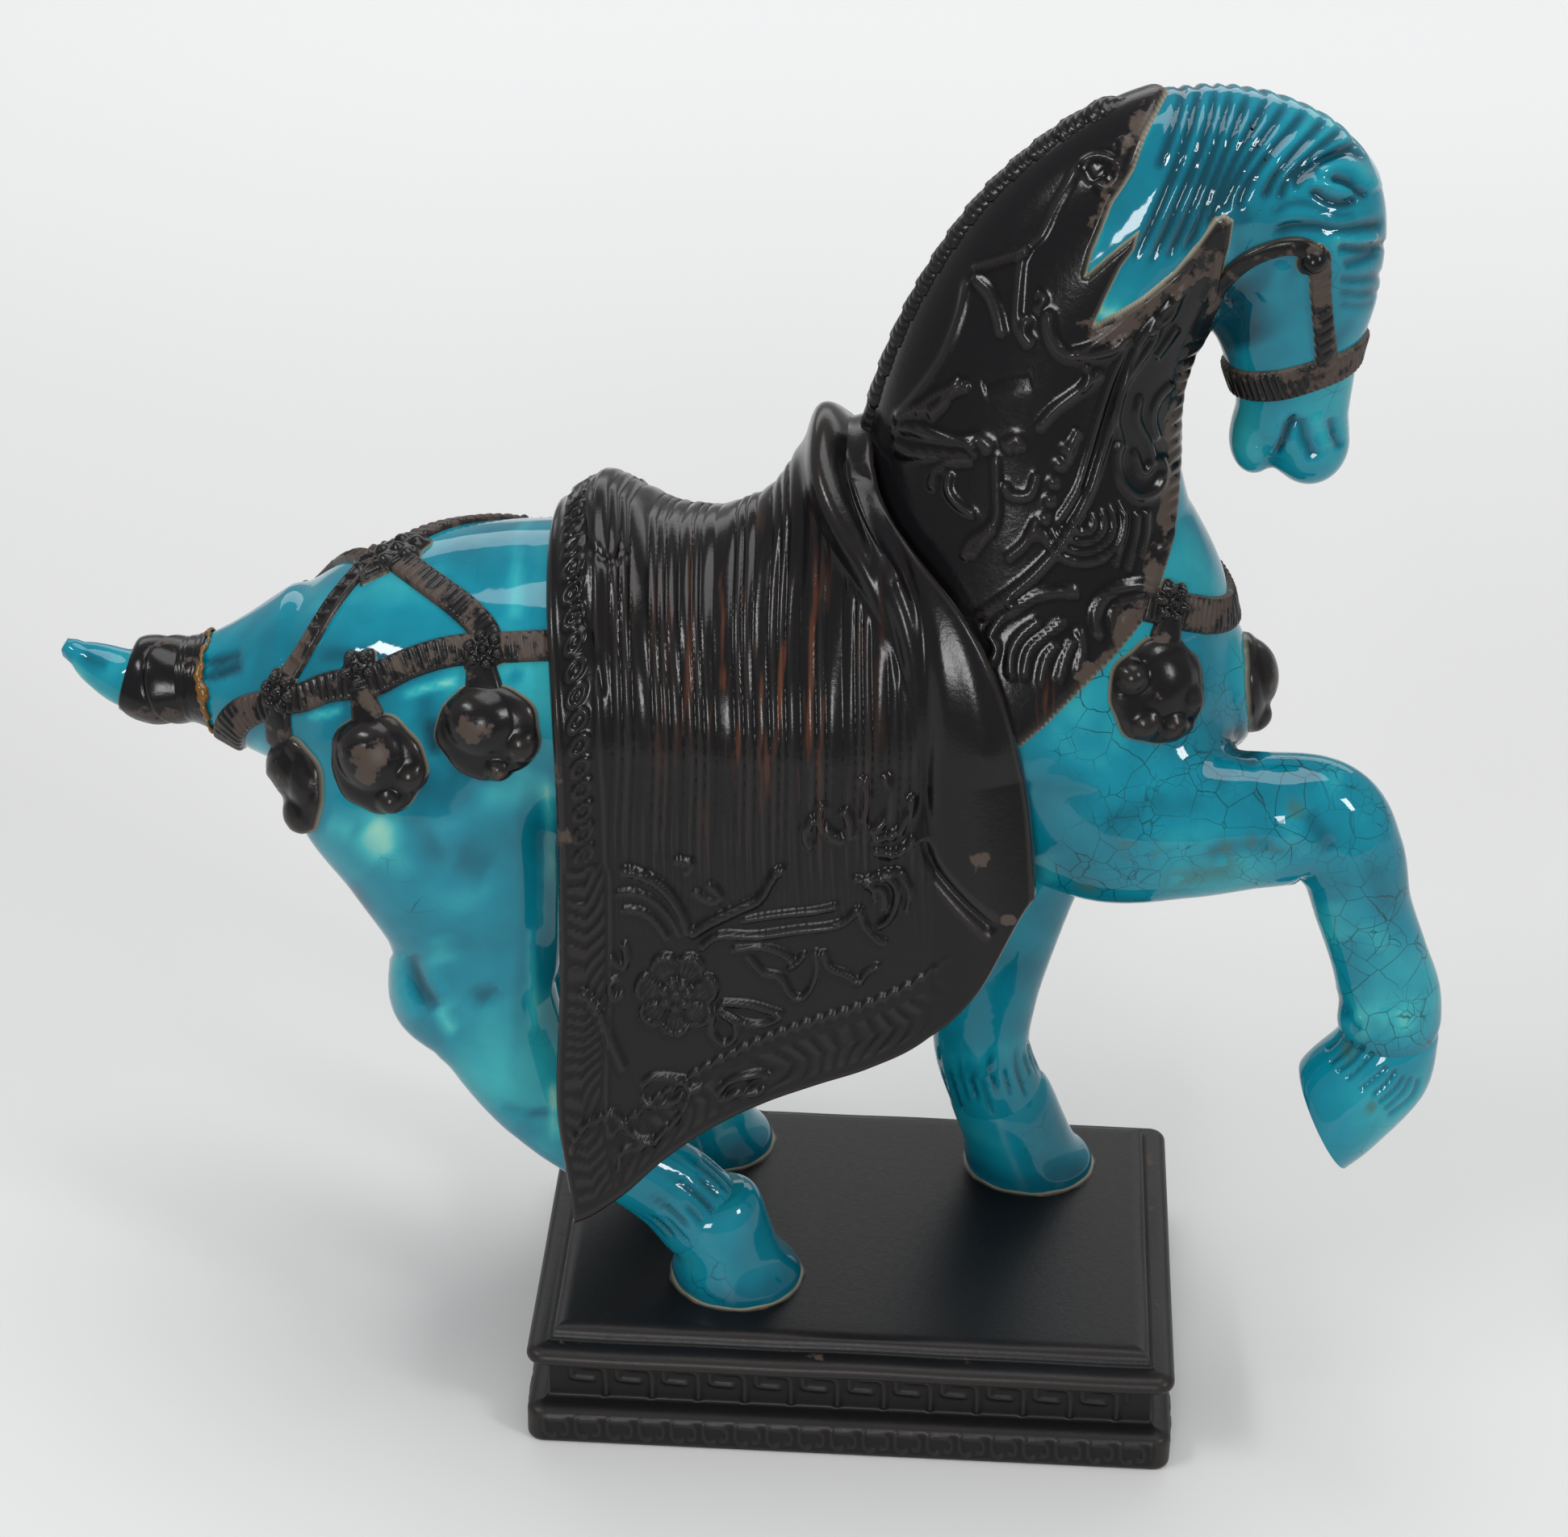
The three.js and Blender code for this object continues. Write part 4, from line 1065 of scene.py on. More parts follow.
def makeFootRing(name):
    look = footLook
    ax, _, bx, _, y, wide = hooves[name][-1]
    angle = np.linspace(0, 2 * np.pi, look["sides"], endpoint=False)
    out = np.linspace(-1.5, look["reach"], look["rings"])[:, None]
    ragged = 0.35 * np.sin(9 * angle + 1) + 0.25 * np.sin(17 * angle)
    share = np.clip(out / look["reach"], 0, 1)
    x = (ax + bx) / 2 + ((bx - ax) / 2 + out + ragged * share) * np.cos(angle)
    across = y + (wide + out + ragged * share) * np.sin(angle)
    bead = look["height"] * np.exp(-(np.maximum(out, 0) / 1.3)**2) * (1 + 0.2 * np.sin(11 * angle + 2))
    top = np.stack([x, across, look["level"] - look["sunk"] + bead], -1)
    low = top * [1, 1, 0] + [0, 0, look["level"] - 2 * look["sunk"]]
    rings = np.concatenate([low[:1], top, low[-1:]])
    points, triangles = closedTriangles(rings)
    spot = np.concatenate([[out[0, 0]], out[:, 0], [out[-1, 0]]])
    each = np.append(np.repeat(spot, look["sides"]), [0, look["reach"]])
    values = {
        "edge": np.exp(-(np.maximum(each - 0.1, 0) / 0.55)**2) * 0.8,
        "rust": np.exp(-(np.maximum(each - 0.8, 0) / 2.6)**2) * 0.75,
        "polish": np.full(len(points), -0.08),
    }
    addPiece(name + "Rim", points, outward(points, triangles), biscuit, values)


print("making the plinth")
makePlinth()
for hoofName in hooves:
    if hoofName != "raisedHoof":
        makeFootRing(hoofName)


# The saddle cloth. Its shape: the height along the back, its edges at each height, and its hem.
clothLook = {
    "rise": (250, 257, 261, 256, 252, 251, 252, 254.5, 259, 268.5, 281, 277, 281),
    "riseFrom": -84, "riseTo": -2,
    "rearEdge": (-75, -79, -78, -78, -79, -82, -85),
    "frontEdge": (44, 43.5, 43.5, 43, 38, 25, -4),
    "edgeFrom": 66, "edgeTo": 284,
    "hem": (66, 75, 88, 99, 107.5, 114, 120, 129, 146, 174),
    "shoulder": 206, "width": 47, "flare": 4, "innerTop": 244, "innerHem": 1.5, "thick": (9, 4.2),
    "columns": 236, "nearRows": 250, "farRows": 60, "innerRows": 30,
    "pleat": 33, "pleatDepth": 0.66, "pleatEnd": 0.79, "pleatFade": (168, 190),
    "roll": 2.6, "rim": 1.3,
    "borderWidth": 13, "bead": 6.3, "hemBorder": 17, "carving": 1.35,
}


# The cloth at u from rear to front and v from near hem (-1) to far hem (1): an arch over the back,
# then straight sides that flare a little down to the hem.
def clothAt(u, v, inner=False):
    look = clothLook
    drop = np.maximum(np.abs(v) * 2 - 1, 0)
    arch = np.minimum(np.abs(v) * 2, 1) * np.pi / 2
    top = look["innerTop"] if inner else curveAt(look["rise"], u)
    hem = curveAt(look["hem"], u) + (look["innerHem"] if inner else 0)
    shoulder = look["shoulder"]
    z = np.where(drop > 0, shoulder + (hem - shoulder) * drop, shoulder + (top - shoulder) * np.cos(arch))
    height = (z - look["edgeFrom"]) / (look["edgeTo"] - look["edgeFrom"])
    edge = curveAt(look["rearEdge"], height) * (1 - u) + curveAt(look["frontEdge"], height) * u
    ridge = look["riseFrom"] * (1 - u) + look["riseTo"] * u
    x = edge + (ridge - edge) * np.where(drop > 0, 0, np.cos(arch)**4)
    width = look["width"] + look["flare"] * drop
    out = width * np.where(drop > 0, 1, np.sin(arch)) * np.sign(v)
    return np.stack([x, out, z], -1), drop


def gridNormals(grid):
    return unit(np.cross(np.gradient(grid, axis=1), np.gradient(grid, axis=0)))


# Pleats: rounded ridges between narrow grooves, |sin|^0.7, upright in the view and uneven in width
# and height, that fade downwards.
def pleatRelief(u, grid):
    look = clothLook
    z = grid[..., 2]
    count = onSheet("saddle", grid.reshape(-1, 3))[:, 0].reshape(u.shape) / look["pleat"]
    count += 0.1 * np.sin(z / 9) + 0.1 * np.sin(z / 23 + 9 * u)
    count += 0.24 * np.sin(1.9 * count) + 0.2 * np.sin(0.8 * count + 1)
    ridge = np.abs(np.sin(np.pi * count))**0.7 * (1 + 0.3 * np.sin(1.3 * count + z / 37))
    fine = 0.5 + 0.5 * np.cos(5 * np.pi * count + z / 14)
    strength = ease(z, *look["pleatFade"])
    lower = ease(z, 150, 170) * (1 - ease(z, 185, 200))
    inside = ease(u, 0.1, 0.13) * (1 - ease(u, look["pleatEnd"] - 0.03, look["pleatEnd"]))
    return (look["pleatDepth"] * (ridge - 0.6) * strength + 0.16 * fine * lower) * inside


# The rear border: ringed beads between two ridges, leaf fronds below them, and the same along the hem.
def borderRelief(u, grid, fromRear, fromHem):
    look = clothLook
    z = grid[..., 2]
    along = np.cumsum(np.linalg.norm(np.diff(grid, axis=0, prepend=grid[:1]), axis=2), axis=0)
    middle = look["borderWidth"] * 0.52
    upper = ease(z, 172, 180)
    step = (along / look["bead"]) % 1 - 0.5
    gap = np.hypot(fromRear - middle, step * look["bead"])
    relief = upper * (0.75 * np.exp(-((gap - 2.1) / 0.55)**2) + 0.5 * np.exp(-(gap / 0.8)**2))
    for line in (1.6, look["borderWidth"] - 1):
        relief += 0.55 * np.exp(-((fromRear - line) / 0.8)**2) * upper
    lower = 1 - upper
    sway = 0.45 * np.sin(along / 9) + 0.3 * np.sin(along / 5.3 + fromRear / 3)
    frond = np.abs(np.sin(np.pi * (along / 4.6 - np.abs(fromRear - middle) / 6 + sway)))
    band = ease(fromRear, 1.5, 3) * (1 - ease(fromRear, look["borderWidth"] - 2, look["borderWidth"] - 0.5))
    relief += lower * band * (0.75 * frond**0.7 - 0.3) * ease(fromHem, 3, 6)
    relief += lower * 0.6 * np.exp(-((fromRear - look["borderWidth"]) / 0.7)**2) * ease(fromHem, 14, 18)
    across = grid[..., 0]
    wide = look["hemBorder"]
    sway = 0.5 * np.sin(across / 8) + 0.3 * np.sin(across / 4.7 + fromHem / 3)
    frond = np.abs(np.sin(np.pi * (across / 5 + np.abs(fromHem - wide * 0.5) / 7 + sway)))
    inside = ease(fromHem, 2.5, 4) * (1 - ease(fromHem, wide - 5, wide - 3)) * ease(fromRear, 10, 14)
    fading = 1 - ease(u, 0.72, 0.86)
    relief += inside * fading * (0.7 * frond**0.7 - 0.3)
    scallop = wide - 1 + 0.9 * np.abs(np.sin(np.pi * across / 3.2))
    relief += 0.8 * np.exp(-((fromHem - scallop) / 0.9)**2) * ease(fromRear, 12, 15) * fading
    return relief * (z > 60)


# Carving of the skirt: stems, leaves and fronds round one flower.
skirtStrokes = [
    (13, 1.1, [(556, 285), (525, 205), (475, 135), (405, 90), (335, 75)]),
    (9, 0.7, [(530, 290), (495, 225), (440, 170), (380, 145), (315, 150)]),
    (9, 0.7, [(490, 300), (450, 240), (400, 205), (335, 200)]),
    (13, 1.2, [(560, 285), (620, 245), (715, 200), (785, 165), (828, 95), (860, 70)]),
    (11, 1.0, [(590, 330), (650, 285), (770, 285), (900, 268), (1040, 248), (1105, 195)]),
    (9, 0.8, [(720, 235), (860, 215), (960, 205), (1035, 188)]),
    (10, 0.9, [(1105, 195), (1120, 250), (1165, 300), (1190, 310)]),
    (10, 0.9, [(690, 330), (790, 320), (870, 350), (890, 385)]),
    (10, 0.9, [(740, 340), (790, 400), (850, 420), (880, 470), (915, 490)]),
    (9, 0.9, [(915, 490), (950, 450), (970, 380), (960, 330)]),
    (9, 0.8, [(870, 390), (905, 370), (930, 340)]),
    (10, 1.0, [(985, 330), (1005, 385), (1060, 410), (1105, 440)]),
    (10, 0.9, [(1105, 440), (1130, 400), (1170, 380)]),
    (10, 1.0, [(1130, 105), (1190, 90), (1225, 140), (1205, 215), (1160, 260)]),
    (10, 0.9, [(1170, 90), (1230, 80), (1265, 140), (1255, 210)]),
    (9, 0.8, [(1085, 100), (1140, 120), (1160, 180)]),
    (10, 0.9, [(640, 525), (628, 590), (665, 632), (703, 610), (700, 560), (655, 525)]),
    (9, 0.9, [(655, 500), (740, 505), (800, 520), (858, 540)]),
    (9, 0.9, [(640, 515), (720, 560), (790, 570), (858, 542)]),
    (10, 0.9, [(345, 305), (355, 360), (340, 385), (300, 350)]),
    (10, 0.8, [(330, 415), (300, 445), (315, 485), (345, 470)]),
    (12, 1.0, [(205, 460), (260, 520), (290, 590), (330, 680), (350, 720)]),
    (10, 0.9, [(400, 770), (440, 740), (520, 745), (560, 775), (600, 770)]),
    (9, 0.8, [(400, 800), (440, 830), (500, 820), (540, 790)]),
    (10, 0.9, [(640, 800), (690, 750), (760, 730), (810, 735)]),
    (9, 0.8, [(650, 815), (720, 790), (780, 790), (800, 770)]),
    (10, 0.9, [(300, 850), (330, 870), (380, 930), (440, 945)]),
    (9, 0.8, [(180, 990), (190, 940), (230, 890), (300, 860)]),
    (9, 0.8, [(440, 945), (490, 900), (540, 840), (560, 780)]),
    (9, 0.8, [(330, 1040), (340, 980), (400, 960), (460, 940)]),
]
# The flower: centre, petals, and its size in sheet units.
flowerLook = {"centre": (515, 472), "petals": 7, "reach": 142, "waist": 0.78, "tilt": 0.2, "proud": 1.4,
              "eye": 62, "seeds": 7}
# Carving above the skirt, the fold down the front roll, and the hollow under the pommel.
saddleStrokes = [
    (26, -1.7, [(985, 215), (1040, 340), (1105, 500), (1150, 680), (1165, 880), (1155, 1080), (1150, 1250)]),
    (16, -1.5, [(1150, 1235), (1180, 1310), (1260, 1395), (1355, 1475)]),
    (60, 1.6, [(1065, 260), (1150, 400), (1240, 580), (1300, 740), (1330, 900), (1345, 1080)]),
    (18, -0.9, [(925, 190), (960, 320), (1010, 470), (1065, 640), (1100, 820)]),
    (22, 0.9, [(980, 250), (1020, 380), (1080, 540)]),
    (12, 1.0, [(1000, 1215), (1050, 1180), (1060, 1110), (1050, 1050)]),
    (12, 1.0, [(985, 1190), (1000, 1120), (985, 1060)]),
    (12, 1.1, [(1010, 1230), (1080, 1215), (1115, 1160), (1120, 1110)]),
    (12, 1.1, [(940, 1240), (900, 1220), (870, 1180), (880, 1130)]),
    (12, 1.1, [(850, 1260), (830, 1215), (860, 1170)]),
    (12, 1.0, [(960, 1235), (950, 1180), (930, 1150)]),
    (12, 1.1, [(1010, 1260), (1080, 1270), (1130, 1230)]),
    (12, 1.0, [(1020, 1330), (1080, 1345), (1085, 1410), (1040, 1470)]),
    (12, 1.0, [(985, 1350), (1040, 1370), (1050, 1430)]),
    (10, 0.8, [(560, 1350), (600, 1390), (570, 1400), (520, 1370)]),
    (10, 0.8, [(500, 1330), (520, 1300), (470, 1290)]),
    (16, -0.8, [(215, 330), (235, 420), (300, 470), (340, 440)]),
    (14, -0.7, [(200, 480), (215, 600), (250, 700), (280, 850)]),
]


# The flower's petals rise towards rounded tips; between them, and round the seeds, it falls.
def flowerRelief(places):
    look = flowerLook
    offset = places - look["centre"]
    radius = np.hypot(*offset.T) / look["reach"]
    angle = np.arctan2(offset[:, 1], offset[:, 0]) + look["tilt"]
    petal = np.abs(np.cos(look["petals"] * angle / 2))
    rim = look["waist"] + (1 - look["waist"]) * petal**0.6
    inside = 1 - ease(radius, rim - 0.1, rim + 0.03)
    edge = np.exp(-((radius - rim + 0.09) / 0.06)**2)
    veins = 0.5 + 0.5 * np.cos(look["petals"] * 5 * angle)
    relief = inside * (0.5 + 0.45 * edge - 0.5 * (1 - petal)**2 - 0.18 * veins * ease(radius, 0.45, 0.6))
    seedAngle = 2 * np.pi * np.arange(look["seeds"]) / look["seeds"]
    seeds = np.stack([np.cos(seedAngle), np.sin(seedAngle)], 1) * look["eye"] * 0.62
    seeds = np.concatenate([seeds, [[0, 0]]])
    gap = np.linalg.norm(offset[:, None] - seeds, axis=2).min(1)
    relief += 0.5 * np.exp(-(gap / 15)**2) - 0.25 * np.exp(-((radius * look["reach"] - look["eye"]) / 9)**2)
    return look["proud"] * relief * (radius < 1.2)


def makeSaddleCloth():
    look = clothLook
    u = np.linspace(0, 1, look["columns"])[None]
    drop = np.linspace(0, 1, look["nearRows"])
    near = -1 + drop
    v = np.concatenate([near, np.linspace(0, 1, look["farRows"] + 1)[1:]])[:, None]
    v = np.where(np.abs(v) < 1e-9, -1e-6, v)
    u, v = np.broadcast_arrays(u, v)
    grid, fall = clothAt(u, v)
    normals = gridNormals(grid)
    normals *= np.sign((normals * (grid - [0, 0, 190])).sum(-1, keepdims=True))
    flat = grid.reshape(-1, 3)
    fromRear = u * (grid[:, -1:, 0] - grid[:, :1, 0])
    fromHem = (grid[..., 2] - curveAt(look["hem"], u)) * 0.8
    relief = pleatRelief(u, grid)
    relief += borderRelief(u, grid, fromRear, fromHem)
    behind = (u - look["pleatEnd"]) / (1 - look["pleatEnd"])
    relief += np.where(behind > 0, look["roll"] * np.sin(np.pi * behind), 0)
    skirt = onSheet("skirt", flat)
    drawn = look["carving"] * (strokes(skirt, skirtStrokes, 0.06) + flowerRelief(skirt))
    drawn += strokes(onSheet("saddle", flat), saddleStrokes)
    relief += drawn.reshape(u.shape)
    # The rim rounds off: it sinks like a quarter circle within its last millimetres.
    fromFront = (1 - u) * (grid[:, -1:, 0] - grid[:, :1, 0])
    rim = np.minimum(np.minimum(fromRear, fromFront), fromHem + 20 * (fall <= 0))
    turn = np.clip(1 - rim / look["rim"], 0, 1)
    relief -= look["rim"] * (1 - np.sqrt(1 - turn**2))
    outer = grid + relief[..., None] * normals
    # The inner face lies a wall's thickness inside, with few rows; the two meet round the rim.
    rows = np.unique(np.linspace(0, len(v) - 1, look["innerRows"]).astype(int))
    inner, innerFall = clothAt(u[rows], v[rows], True)
    innerNormals = normals[rows]
    thick = look["thick"][0] + (look["thick"][1] - look["thick"][0]) * innerFall
    inner = inner - thick[..., None] * innerNormals
    columns = look["columns"]
    count = outer.shape[0] * columns
    points = np.concatenate([outer.reshape(-1, 3), inner.reshape(-1, 3)])
    faces = gridFaces(outer.shape[0], columns, False).tolist()
    faces += gridFaces(len(rows), columns, False, count)[:, ::-1].tolist()
    for first, second in zip(range(len(rows) - 1), range(1, len(rows))):
        for column, turned in ((0, 1), (columns - 1, -1)):
            line = [row * columns + column for row in range(rows[first], rows[second] + 1)]
            face = line + [count + second * columns + column, count + first * columns + column]
            faces.append(face[::turned])
    for row, innerRow, turned in ((0, 0, -1), (outer.shape[0] - 1, len(rows) - 1, 1)):
        for column in range(columns - 1):
            a, b = row * columns + column, row * columns + column + 1
            c, d = count + innerRow * columns + column + 1, count + innerRow * columns + column
            faces.append([a, b, c, d][::turned])
    mesh = meshOf("cloth", points, faces)
    triangles = outward(points, trianglesOf(mesh))
    bpy.data.meshes.remove(mesh)
    z = points[:, 2]
    places = onSheet("saddle", points)
    middle = np.exp(-(((places[:, 0] - 720) / 230)**2 + ((places[:, 1] - 760) / 330)**2))
    wornPlaces = [
        ((1310, 1290), 60, 90), ((150, 1080), 60, 130), ((170, 1200), 60, 90), ((1380, 1450), 40, 30),
    ]
    worn = np.zeros(len(points))
    for centre, wide, tall in wornPlaces:
        worn = np.maximum(worn, np.exp(-(((places[:, 0] - centre[0]) / wide)**2
                                         + ((places[:, 1] - centre[1]) / tall)**2)))
    values = biscuitValues(points, triangles, worn=0.5 * worn, rust=0.75 * middle,
                           polish=0.12 * ease(z, 150, 210))
    addPiece("saddleCloth", points, triangles, biscuit, values)


print("making the saddle cloth")
makeSaddleCloth()


# Rays through drawn points, walked by the field's own distance until they meet the horse.
def skinAt(sheet, drawn):
    corner, scale = sheets[sheet]
    offset = (np.array(drawn, float) / scale + corner - np.array(view["size"]) / 2) / view["focal"]
    ahead = unit(np.column_stack([offset, np.ones(len(offset))]) @ viewRows())
    travel = np.full(len(offset), 900.0)
    for _ in range(60):
        travel += horseField(view["place"] + travel[:, None] * ahead) * 0.9
    return view["place"] + travel[:, None] * ahead


# The direction in which the field grows.
def fieldNormals(points, names=None):
    step = 0.3
    return unit(np.stack([horseField(points + step * axis, names) - horseField(points - step * axis, names)
                          for axis in np.eye(3)], 1))


# Points brought onto the horse along the field's own direction.
def seated(points, rounds=4):
    for _ in range(rounds):
        points = points - horseField(points)[:, None] * fieldNormals(points)
    return points


# The neck cloth, drawn on the neck's sheet: its outline, relief and worn places.
neckLook = {
    "ends": (0.0, 0.955), "rows": 216, "near": 224, "far": 48, "deep": -16,
    "proud": 1.5, "dive": 1.8, "names": ("torso", "neck", "head", "raisedForeleg", "farForeleg"),
}
neckOutline = [
    (792, 20), (755, 90), (735, 130), (718, 165), (692, 240), (665, 285), (640, 320), (612, 390), (590, 440),
    (574, 497), (640, 440), (705, 388), (690, 440), (660, 480), (620, 560), (592, 622), (640, 597),
    (710, 555), (790, 490), (850, 420), (893, 362), (915, 350), (938, 365), (930, 420), (915, 480),
    (912, 520), (905, 570), (880, 640), (842, 700), (815, 780), (806, 860), (806, 950), (800, 1050),
    (792, 1150), (772, 1220), (755, 1270), (742, 1300), (720, 1350), (690, 1390), (640, 1450), (590, 1500),
    (530, 1560), (470, 1620), (400, 1680), (385, 1740), (250, 1700), (100, 1500), (0, 1250), (-120, 1100),
    (-250, 900), (-150, 600), (100, 250), (300, 50), (500, -80), (700, -100), (790, -60),
]
neckStrokes = [
    (12, 1.0, [(290, 510), (270, 600), (230, 700), (170, 790), (110, 860)]),
    (12, 0.9, [(300, 505), (340, 545), (360, 600), (370, 650)]),
    (9, 0.9, [(560, 235), (600, 212), (645, 222), (658, 258), (630, 288), (598, 270)]),
    (8, -0.6, [(572, 240), (590, 268), (612, 262), (628, 245)]),
    (10, 0.8, [(560, 235), (540, 275), (505, 330), (470, 400), (425, 450), (410, 540), (402, 640)]),
    (10, 0.8, [(300, 490), (370, 465), (440, 440)]),
    (14, 1.2, [(480, 580), (488, 650), (520, 690), (580, 692), (640, 675), (670, 640)]),
    (9, 0.7, [(540, 690), (600, 660), (650, 620), (665, 600)]),
    (10, 1.0, [(102, 900), (125, 878), (190, 893), (260, 912), (305, 915)]),
    (10, 0.9, [(105, 915), (135, 938), (200, 942), (260, 940), (310, 935)]),
    (10, 0.9, [(110, 865), (180, 820), (240, 785), (290, 772)]),
    (9, 0.8, [(190, 855), (225, 820), (250, 780), (262, 760)]),
    (9, 0.7, [(160, 840), (210, 825), (240, 800)]),
    (10, 0.8, [(195, 1030), (205, 985), (240, 960), (300, 955)]),
    (10, 0.8, [(240, 980), (235, 1030), (262, 1070), (300, 1090)]),
    (10, 0.7, [(350, 940), (352, 1020), (350, 1100), (320, 1150), (285, 1195)]),
    (10, 0.7, [(368, 1010), (385, 1040), (430, 1040), (450, 985)]),
    (9, 0.7, [(270, 1200), (290, 1160), (345, 1120)]),
    (9, 0.7, [(375, 1200), (420, 1160), (450, 1100)]),
    (16, 0.8, [(280, 920), (310, 905), (340, 930)]),
    (16, 0.8, [(370, 925), (400, 905), (410, 930)]),
    (22, -0.5, [(320, 780), (380, 760), (440, 750)]),
    (11, 0.9, [(450, 880), (490, 830), (540, 790), (590, 750), (605, 735)]),
    (9, 0.8, [(560, 780), (575, 745), (572, 715)]),
    (9, 0.8, [(520, 960), (535, 910), (550, 880)]),
    (10, 1.2, [(820, 520), (760, 580), (705, 650), (662, 740), (632, 850), (600, 950), (572, 1040),
               (515, 1150), (440, 1240), (350, 1315), (300, 1345)]),
    (8, 0.8, [(662, 680), (628, 760), (595, 860), (570, 950), (545, 1030), (490, 1120)]),
    (9, -0.6, [(690, 660), (648, 760), (618, 850), (588, 950), (560, 1040)]),
    (12, 0.8, [(660, 240), (672, 190), (665, 165)]),
    (14, 0.9, [(430, 600), (420, 640), (440, 670)]),
    (10, 0.7, [(450, 545), (470, 555), (450, 590)]),
    (12, 1.2, [(648, 905), (640, 960), (655, 1015), (695, 1048), (738, 1030), (752, 985), (735, 945)]),
    (10, 0.9, [(655, 930), (640, 850), (655, 780), (690, 720), (730, 660), (745, 620)]),
    (9, 0.9, [(680, 925), (700, 985), (722, 965), (715, 910), (690, 850), (700, 790)]),
    (9, 0.9, [(735, 905), (725, 850), (740, 800), (775, 760)]),
    (9, 0.8, [(715, 640), (770, 600), (790, 560), (780, 540)]),
    (9, 0.8, [(735, 700), (760, 665), (790, 620)]),
    (8, 0.7, [(850, 560), (880, 500), (895, 440)]),
    (8, 0.7, [(875, 560), (900, 490), (915, 430)]),
    (10, -0.7, [(840, 470), (800, 520), (740, 600)]),
    (8, 0.7, [(660, 1080), (652, 1150), (635, 1220)]),
    (8, 0.7, [(690, 1085), (682, 1160), (665, 1230)]),
    (8, 0.7, [(712, 1080), (710, 1140), (698, 1200)]),
    (11, 1.0, [(600, 1400), (590, 1335), (625, 1285), (700, 1268), (745, 1290)]),
    (9, 0.9, [(640, 1390), (632, 1335), (665, 1300), (720, 1300)]),
    (8, 0.8, [(665, 1370), (668, 1340), (700, 1325)]),
    (10, 0.9, [(385, 1500), (385, 1440), (410, 1390), (460, 1350)]),
    (9, 0.8, [(415, 1500), (430, 1430), (470, 1390), (520, 1350)]),
    (9, 0.8, [(455, 1520), (470, 1450), (500, 1410)]),
    (9, 0.8, [(500, 1510), (520, 1440), (540, 1400)]),
    (9, 0.8, [(545, 1490), (560, 1420), (550, 1370)]),
    (9, 0.8, [(330, 1400), (360, 1350), (400, 1320)]),
    (9, 0.8, [(330, 1470), (350, 1430), (340, 1400)]),
    (9, 0.7, [(400, 1320), (450, 1290), (520, 1280)]),
    (12, 0.8, [(520, 1290), (530, 1275), (545, 1290)]),
    (12, 0.8, [(395, 1300), (380, 1310), (400, 1325)]),
]
neckBeads = [(520, 925), (505, 965), (490, 1010), (482, 1055), (470, 1100), (450, 1135)]
neckShells = {"centre": (560, 1110), "radii": (26, 50, 74, 98), "width": 8, "height": 0.8}
neckTwist = {"line": [(850, 640), (822, 720), (806, 800), (796, 900), (790, 1000), (785, 1100), (762, 1220)],
             "reach": 34, "pitch": 31, "height": 0.7}


def neckRelief(places):
    relief = strokes(places, neckStrokes, 0.08)
    gap = np.linalg.norm(places[:, None] - np.array(neckBeads), axis=2).min(1)
    relief += 0.8 * np.exp(-(gap / 15)**2)
    look = neckShells
    offset = places - look["centre"]
    radius = np.hypot(*offset.T)
    arc = np.abs(radius[:, None] - np.array(look["radii"])).min(1)
    facing = ease(offset[:, 1] + 0.4 * offset[:, 0], -30, 10) * (radius < look["radii"][-1] + 15)
    relief += look["height"] * np.exp(-(arc / look["width"])**2) * facing
    # Slanting ticks like a rope along the front edge.
    twist = neckTwist
    near = np.flatnonzero((np.abs(places - [800, 930]) < [110, 340]).all(1))
    gap, along = lineDistance(places[near], twist["line"])
    length = np.linalg.norm(np.diff(twist["line"], axis=0), axis=1).sum()
    phase = (along * length + 0.8 * (places[near, 0] - 800)) / twist["pitch"]
    rope = np.abs(np.sin(np.pi * phase))**0.7 - 0.4
    relief[near] += twist["height"] * rope * (1 - ease(gap, twist["reach"] - 14, twist["reach"])) \
        * ease(along, 0.01, 0.06) * ease(1 - along, 0.01, 0.06)
    return relief


def makeNeckCloth():
    look = neckLook
    frames = limbFrames("neck", np.linspace(*look["ends"], look["rows"]))
    angle = np.concatenate([np.linspace(-np.pi, 0, look["near"], endpoint=False),
                            np.linspace(0, np.pi, look["far"], endpoint=False)])[None, :, None]
    rings = frames["centre"][:, None] \
        + np.cos(angle) * (frames["half"][:, None] * frames["across"])[:, None] \
        + np.sin(angle) * (frames["wide"][:, None] * frames["side"])[:, None]
    points, triangles = closedTriangles(rings)
    triangles = outward(points, triangles)
    free = (horseField(points, look["names"]) > look["deep"]) & (np.arange(len(points)) < len(points) - 2)
    points = settled(points, triangles, 5, 0, look["names"], free)
    places = onSheet("neck", points)
    gap = outlineDistance(places, neckOutline)
    height = look["proud"] * ease(-gap, -3, 14) - look["dive"] * ease(gap, -2, 12)
    height += neckRelief(places) * ease(-gap, 4, 20)
    points = points + height[:, None] * normalsOf(points, triangles)
    low = places[:, 1] / 1700
    worn = 0.42 * np.exp(-(np.maximum(-gap - 30, 0) / 45)**2) * ease(places[:, 0], 450, 600) + 0.12 * low
    rust = 0.8 * np.exp(-((places[:, 0] - 500) / 70)**2 - ((places[:, 1] - 1590) / 60)**2)
    values = biscuitValues(points, triangles, worn=worn, rust=rust, edge=0.75 * np.exp(-((gap + 1) / 4)**2),
                           polish=np.full(len(points), 0.14))
    addPiece("neckCloth", points, triangles, biscuit, values)


